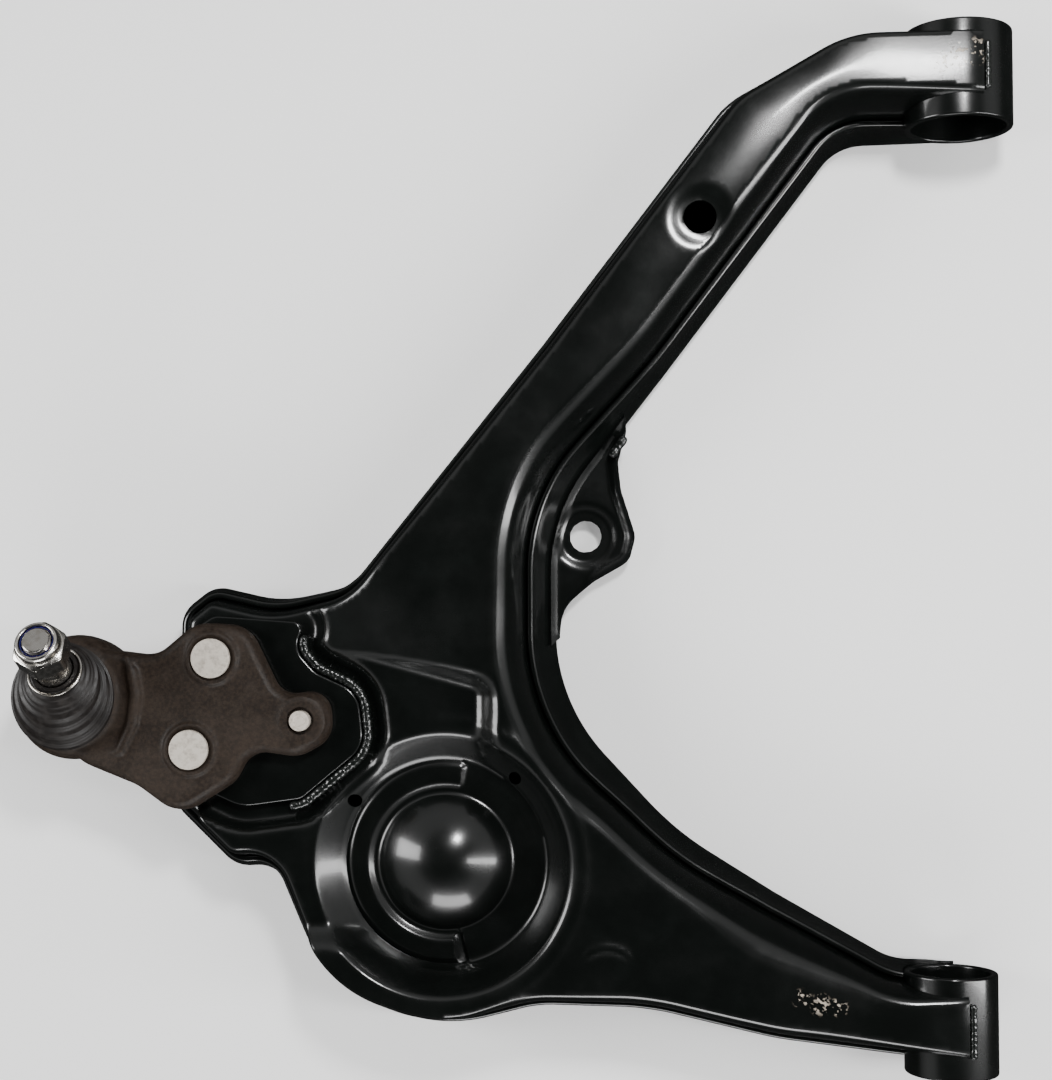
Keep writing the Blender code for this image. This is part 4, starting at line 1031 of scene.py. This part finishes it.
def make_boot_rings():
    wire = 0.75
    reach = NECK_R + GAP + BOOT_WALL + GAP + wire
    wire_ring("Lower boot ring", "boot_lower_ring", "arm", reach, BOOT_BASE + 1.4, wire, Matrix.Translation(BALL))
    wire_ring("Upper boot ring", "boot_upper_ring", "swing", 10.9 + GAP + wire, TAPER_START + 1.5, wire, ON_STUD)


# ---------------------------------------------------------------- materials

class Nodes:
    """Short hand for one material's node tree."""

    def __init__(self, name):
        self.mat = bpy.data.materials.new(name)
        self.mat.use_nodes = True
        self.tree = self.mat.node_tree
        self.shader = self.tree.nodes["Principled BSDF"]
        self.place = self.add("ShaderNodeTexCoord").outputs["Object"]

    def add(self, kind, **values):
        node = self.tree.nodes.new(kind)
        for key, value in values.items():
            setattr(node, key, value)
        return node

    def link(self, source, target):
        self.tree.links.new(source, target)

    def set(self, **values):
        for key, value in values.items():
            self.shader.inputs[key.replace("_", " ")].default_value = value

    def noise(self, scale, detail=3.0, roughness=0.5, offset=0.0):
        node = self.add("ShaderNodeTexNoise")
        node.inputs["Scale"].default_value = scale
        node.inputs["Detail"].default_value = detail
        node.inputs["Roughness"].default_value = roughness
        where = self.place
        if offset:
            shift = self.add("ShaderNodeMapping")
            shift.inputs["Location"].default_value = (offset, offset * 0.7, -offset)
            self.link(self.place, shift.inputs["Vector"])
            where = shift.outputs["Vector"]
        self.link(where, node.inputs["Vector"])
        return node.outputs["Fac"]

    def ramp(self, source, low, high, start=0.0, end=1.0):
        node = self.add("ShaderNodeMapRange")
        node.interpolation_type = "SMOOTHSTEP"
        node.inputs["From Min"].default_value = low
        node.inputs["From Max"].default_value = high
        node.inputs["To Min"].default_value = start
        node.inputs["To Max"].default_value = end
        self.link(source, node.inputs["Value"])
        return node.outputs["Result"]

    def maths(self, kind, a, b=None):
        node = self.add("ShaderNodeMath", operation=kind)
        for socket, value in zip(node.inputs, (a, b)):
            if value is None:
                continue
            if isinstance(value, (int, float)):
                socket.default_value = value
            else:
                self.link(value, socket)
        return node.outputs["Value"]

    def near(self, point, inner, outer):
        """1 within inner millimetres of a point, falling to 0 at outer."""
        distance = self.add("ShaderNodeVectorMath", operation="DISTANCE")
        self.link(self.place, distance.inputs[0])
        distance.inputs[1].default_value = tuple(Vector(point) * MM + SHIFT)
        return self.ramp(distance.outputs["Value"], inner * MM, outer * MM, 1.0, 0.0)

    def mix_colour(self, fac, a, b):
        node = self.add("ShaderNodeMix", data_type="RGBA")
        if isinstance(fac, float):
            node.inputs["Factor"].default_value = fac
        else:
            self.link(fac, node.inputs["Factor"])
        for name, value in (("A", a), ("B", b)):
            socket = [s for s in node.inputs if s.name == name and s.type == "RGBA"][0]
            if isinstance(value, tuple):
                socket.default_value = (*value, 1.0)
            else:
                self.link(value, socket)
        return [s for s in node.outputs if s.type == "RGBA"][0]

    def bump(self, height, distance, strength=1.0, below=None):
        node = self.add("ShaderNodeBump")
        node.inputs["Strength"].default_value = strength
        node.inputs["Distance"].default_value = distance * MM
        self.link(height, node.inputs["Height"])
        if below is not None:
            self.link(below, node.inputs["Normal"])
        return node.outputs["Normal"]


def paint_material(name, gloss, wave):
    n = Nodes(name)
    n.set(Roughness=gloss, Metallic=0.0, IOR=1.5)
    n.shader.inputs["Coat Weight"].default_value = 0.35
    n.shader.inputs["Coat Roughness"].default_value = 0.09
    dust = n.ramp(n.noise(55.0, 4.0, 0.6), 0.42, 0.8)
    base = n.mix_colour(dust, (0.0022, 0.0029, 0.0025), (0.0036, 0.0046, 0.0041))
    chip_and_highlight_noise = n.noise(420.0, 3.0, 0.65, 3.0)
    # Pale specks mixed into the paint: chipped paint, and painted highlight over the front sleeve's top and along the
    # short arm's top.
    chips_and_highlight = n.maths("MULTIPLY", n.ramp(chip_and_highlight_noise, 0.56, 0.60), chip_and_highlight_spots(n))
    colour = n.mix_colour(chips_and_highlight, base, (0.42, 0.36, 0.29))
    n.link(colour, n.shader.inputs["Base Color"])
    smudge = n.ramp(n.noise(28.0, 5.0, 0.62, 1.3), 0.35, 0.75, gloss * 0.85, gloss * 1.2)
    rough = n.maths("MAXIMUM", smudge, n.maths("MULTIPLY", chips_and_highlight, 0.7))
    n.link(rough, n.shader.inputs["Roughness"])
    low = n.bump(n.noise(34.0, 2.0, 0.4, 5.0), wave)
    high = n.bump(n.noise(900.0, 2.0, 0.5, 7.0), 0.010, 1.0, low)
    scratch = n.bump(n.ramp(chips_and_highlight, 0.0, 1.0, 1.0, 0.0), 0.15, 1.0, high)
    n.link(scratch, n.shader.inputs["Normal"])
    n.link(high, n.shader.inputs["Coat Normal"])
    return n.mat


def chip_and_highlight_spots(n):
    """Where the pale specks go: over the front sleeve, and in a streak along the short arm. They are chipped paint,
    and also painted highlight laid where the lamp's highlight falls on these tops.
    """
    spots = (
        ((230.0, 361.0, 27.0), 3.0, 7.0),
        ((239.0, 363.0, 27.0), 3.0, 7.5),
        ((224.0, 358.0, 27.0), 2.0, 6.0),
        ((160.0, -55.5, 20.0), 2.0, 5.5),
        ((168.0, -58.0, 20.0), 2.0, 6.0),
        ((176.0, -59.0, 20.0), 2.0, 5.0),
    )
    total = None
    for point, inner, outer in spots:
        spot = n.near(point, inner, outer)
        total = spot if total is None else n.maths("MAXIMUM", total, spot)
    return total


def weld_material():
    n = Nodes("Painted weld")
    n.set(Roughness=0.22, Metallic=0.0)
    n.shader.inputs["Coat Weight"].default_value = 0.5
    n.shader.inputs["Coat Roughness"].default_value = 0.12
    # Sparse pale specks in the bead's colour are painted glints, standing in for the tiny highlights on the black
    # bead's ripples.
    spots = n.ramp(n.noise(1500.0, 2.0, 0.5), 0.74, 0.78)
    n.link(n.mix_colour(spots, (0.0055, 0.0068, 0.0060), (0.32, 0.30, 0.27)), n.shader.inputs["Base Color"])
    n.link(n.ramp(n.noise(300.0), 0.3, 0.7, 0.16, 0.32), n.shader.inputs["Roughness"])
    n.link(n.bump(n.noise(1300.0, 3.0, 0.6), 0.08), n.shader.inputs["Normal"])
    return n.mat


def forged_material():
    n = Nodes("Forged steel")
    n.set(Roughness=0.62, Metallic=0.0)
    n.shader.inputs["Specular IOR Level"].default_value = 0.28
    patch = n.ramp(n.noise(70.0, 5.0, 0.65), 0.35, 0.7)
    grain = n.ramp(n.noise(650.0, 3.0, 0.6, 2.0), 0.35, 0.7)
    dark = n.mix_colour(patch, (0.0095, 0.0056, 0.0034), (0.019, 0.0118, 0.0072))
    speckled = n.mix_colour(n.maths("MULTIPLY", grain, 0.5), dark, (0.036, 0.024, 0.016))
    n.link(speckled, n.shader.inputs["Base Color"])
    n.link(n.ramp(patch, 0.0, 1.0, 0.50, 0.72), n.shader.inputs["Roughness"])
    low = n.bump(n.noise(160.0, 4.0, 0.6, 4.0), 0.35)
    n.link(n.bump(n.noise(1100.0, 3.0, 0.6, 9.0), 0.10, 1.0, low), n.shader.inputs["Normal"])
    return n.mat


def metal_material(name, colour, stain, rough, grain):
    n = Nodes(name)
    n.set(Metallic=1.0)
    worn = n.ramp(n.noise(260.0, 4.0, 0.6), 0.4, 0.75)
    n.link(n.mix_colour(worn, colour, stain), n.shader.inputs["Base Color"])
    n.link(n.ramp(n.noise(480.0, 3.0, 0.6, 2.0), 0.3, 0.7, rough, rough * 1.8), n.shader.inputs["Roughness"])
    n.link(n.bump(n.noise(1600.0, 3.0, 0.5, 1.0), grain), n.shader.inputs["Normal"])
    return n.mat


def cream_material():
    n = Nodes("Cream zinc")
    n.set(Metallic=0.15)
    worn = n.ramp(n.noise(420.0, 4.0, 0.65), 0.4, 0.75)
    n.link(n.mix_colour(worn, (0.58, 0.53, 0.46), (0.36, 0.32, 0.27)), n.shader.inputs["Base Color"])
    n.link(n.ramp(n.noise(300.0, 3.0, 0.6, 2.0), 0.3, 0.7, 0.42, 0.62), n.shader.inputs["Roughness"])
    n.link(n.bump(n.noise(1400.0, 3.0, 0.6), 0.05), n.shader.inputs["Normal"])
    return n.mat


def rubber_material():
    n = Nodes("Boot rubber")
    n.set(Roughness=0.55)
    n.shader.inputs["Specular IOR Level"].default_value = 0.35
    dust = n.ramp(n.noise(180.0, 5.0, 0.65), 0.4, 0.75)
    n.link(n.mix_colour(dust, (0.0065, 0.0050, 0.0044), (0.014, 0.0112, 0.0096)), n.shader.inputs["Base Color"])
    n.link(n.ramp(dust, 0.0, 1.0, 0.42, 0.62), n.shader.inputs["Roughness"])
    n.link(n.bump(n.noise(1800.0, 2.0, 0.5), 0.03), n.shader.inputs["Normal"])
    return n.mat


def nylon_material(name, colour, light):
    n = Nodes(name)
    n.set(Roughness=0.38)
    n.shader.inputs["Subsurface Weight"].default_value = 0.15
    n.shader.inputs["Subsurface Scale"].default_value = 0.001
    n.link(n.mix_colour(n.ramp(n.noise(500.0, 3.0), 0.35, 0.7), colour, light), n.shader.inputs["Base Color"])
    n.link(n.bump(n.noise(1500.0, 2.0), 0.03), n.shader.inputs["Normal"])
    return n.mat


def floor_material():
    n = Nodes("Studio floor")
    n.set(Roughness=0.85)
    n.shader.inputs["Emission Color"].default_value = (1.0, 1.0, 1.0, 1.0)
    n.shader.inputs["Emission Strength"].default_value = 0.22
    pale = n.mix_colour(n.noise(3.0, 2.0), (0.93, 0.93, 0.925), (0.95, 0.95, 0.945))
    n.link(pale, n.shader.inputs["Base Color"])
    n.link(n.bump(n.noise(700.0, 2.0), 0.03), n.shader.inputs["Normal"])
    return n.mat


# ---------------------------------------------------------------- studio

CAMERA_AT = (116.0, 99.0, 828.0)
# The direction in which the floor's plumb line lies in the camera's own axes.
PLUMB = (0.0966667, -0.0583333, -1.0)


def world_point(point):
    return Vector(point) * MM + SHIFT


def aimed(obj, target):
    obj.rotation_euler = (world_point(target) - obj.location).to_track_quat("-Z", "Y").to_euler()


def area_light(name, point, target, size, power, colour=(1.0, 1.0, 1.0)):
    data = bpy.data.lights.new(name, "AREA")
    data.shape = "RECTANGLE"
    data.size = size[0]
    data.size_y = size[1]
    data.energy = power
    data.color = colour
    obj = bpy.data.objects.new(name, data)
    bpy.context.scene.collection.objects.link(obj)
    obj.location = world_point(point)
    aimed(obj, target)


def make_studio():
    mesh = bpy.data.meshes.new("Floor")
    low = 0.0
    half = 3.0
    mesh.from_pydata([(-half, -half, low), (half, -half, low), (half, half, low), (-half, half, low)], [],
                     [(0, 1, 2, 3)])
    mesh.materials.append(floor_material())
    floor = bpy.data.objects.new("Floor", mesh)
    bpy.context.scene.collection.objects.link(floor)
    floor.location.z = -0.0002
    # The glossy paint mirrors a dark surface below it instead of the pale floor.
    floor.visible_glossy = False
    world = bpy.data.worlds.new("Studio")
    bpy.context.scene.world = world
    world.use_nodes = True
    tree = world.node_tree
    back = tree.nodes["Background"]
    where = tree.nodes.new("ShaderNodeTexCoord")
    split = tree.nodes.new("ShaderNodeSeparateXYZ")
    span = tree.nodes.new("ShaderNodeMapRange")
    span.inputs["From Min"].default_value = -1.0
    ramp = tree.nodes.new("ShaderNodeValToRGB")
    # Bright round the horizon, and dark overhead and below, so that the black paint stays black.
    ramp.color_ramp.elements[0].position = 0.46
    ramp.color_ramp.elements[0].color = (0.03, 0.03, 0.03, 1.0)
    ramp.color_ramp.elements[1].position = 0.97
    ramp.color_ramp.elements[1].color = (0.012, 0.012, 0.012, 1.0)
    for height, level in ((0.55, 0.30), (0.68, 0.55), (0.80, 0.50), (0.88, 0.10)):
        stop = ramp.color_ramp.elements.new(height)
        stop.color = (level, level, level, 1.0)
    tree.links.new(where.outputs["Generated"], split.inputs["Vector"])
    tree.links.new(split.outputs["Z"], span.inputs["Value"])
    tree.links.new(span.outputs["Result"], ramp.inputs["Fac"])
    tree.links.new(ramp.outputs["Color"], back.inputs["Strength"])
    back.inputs["Color"].default_value = (1.0, 1.0, 1.0, 1.0)
    middle = (80.0, 130.0, 0.0)
    area_light("Key", (291.0, 614.0, 828.0), middle, (0.15, 0.15), 8.0)
    area_light("Right strip", (1050.0, -60.0, 620.0), middle, (0.16, 1.1), 11.0)
    area_light("Left softbox", (-1000.0, 200.0, 520.0), middle, (0.4, 0.7), 10.0)
    area_light("Near softbox", (60.0, -1000.0, 460.0), middle, (0.9, 0.3), 9.0)


def make_camera():
    data = bpy.data.cameras.new("Camera")
    data.lens = 60.0
    data.sensor_fit = "VERTICAL"
    data.sensor_height = 36.0
    data.clip_start = 0.05
    data.clip_end = 20.0
    camera = bpy.data.objects.new("Camera", data)
    bpy.context.scene.collection.objects.link(camera)
    camera.rotation_mode = "QUATERNION"
    camera.rotation_quaternion = Vector(PLUMB).rotation_difference(Vector((0.0, 0.0, -1.0)))
    camera.location = world_point(CAMERA_AT)
    bpy.context.scene.camera = camera


# ---------------------------------------------------------------- build

GRID = 1.9
PAN_STEP = 1.25
PAN_SIDES = 180
OUTLINE_LOOP = rounded(OUTLINE, 6.0, 2.4)
OUTLINE_NORMALS = inward(OUTLINE_LOOP)
BAND = soften(OUTLINE_LOOP[:, 2], OUTLINE_LOOP, 9.0)
FLANK = soften(OUTLINE_LOOP[:, 3], OUTLINE_LOOP, 9.0)
PLATE_LOOP = rounded(SEAT_PLATE, 5.0, 2.0)

SPARE = bpy.data.materials.new("Spare")
PAINT = paint_material("Black paint", 0.24, 0.05)
WELD = weld_material()
FORGED = forged_material()
STEEL = metal_material("Bright steel", (0.50, 0.48, 0.45), (0.34, 0.31, 0.27), 0.16, 0.02)
ZINC = metal_material("Zinc plate", (0.66, 0.64, 0.60), (0.48, 0.46, 0.42), 0.14, 0.03)
CREAM = cream_material()
RUBBER = rubber_material()
NYLON_BLUE = nylon_material("Blue nylon", (0.012, 0.010, 0.13), (0.020, 0.018, 0.20))
NYLON_WHITE = nylon_material("White nylon", (0.70, 0.69, 0.65), (0.76, 0.75, 0.71))

make_upper_shell()
make_lower_shell()
make_sleeve("Front bush sleeve", "front_bush_sleeve", FRONT_SLEEVE, FRONT_SLEEVE_R)
make_sleeve("Rear bush sleeve", "rear_bush_sleeve", REAR_SLEEVE, REAR_SLEEVE_R)
make_link_tab()
make_seat_plate()
make_welds()
make_housing()
make_rivets()
make_stud()
make_nut()
make_boot()
make_boot_rings()
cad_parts["ball_seat"].data.materials[0] = NYLON_WHITE
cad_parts["housing_cap"].data.materials[0] = FORGED
make_studio()
make_camera()
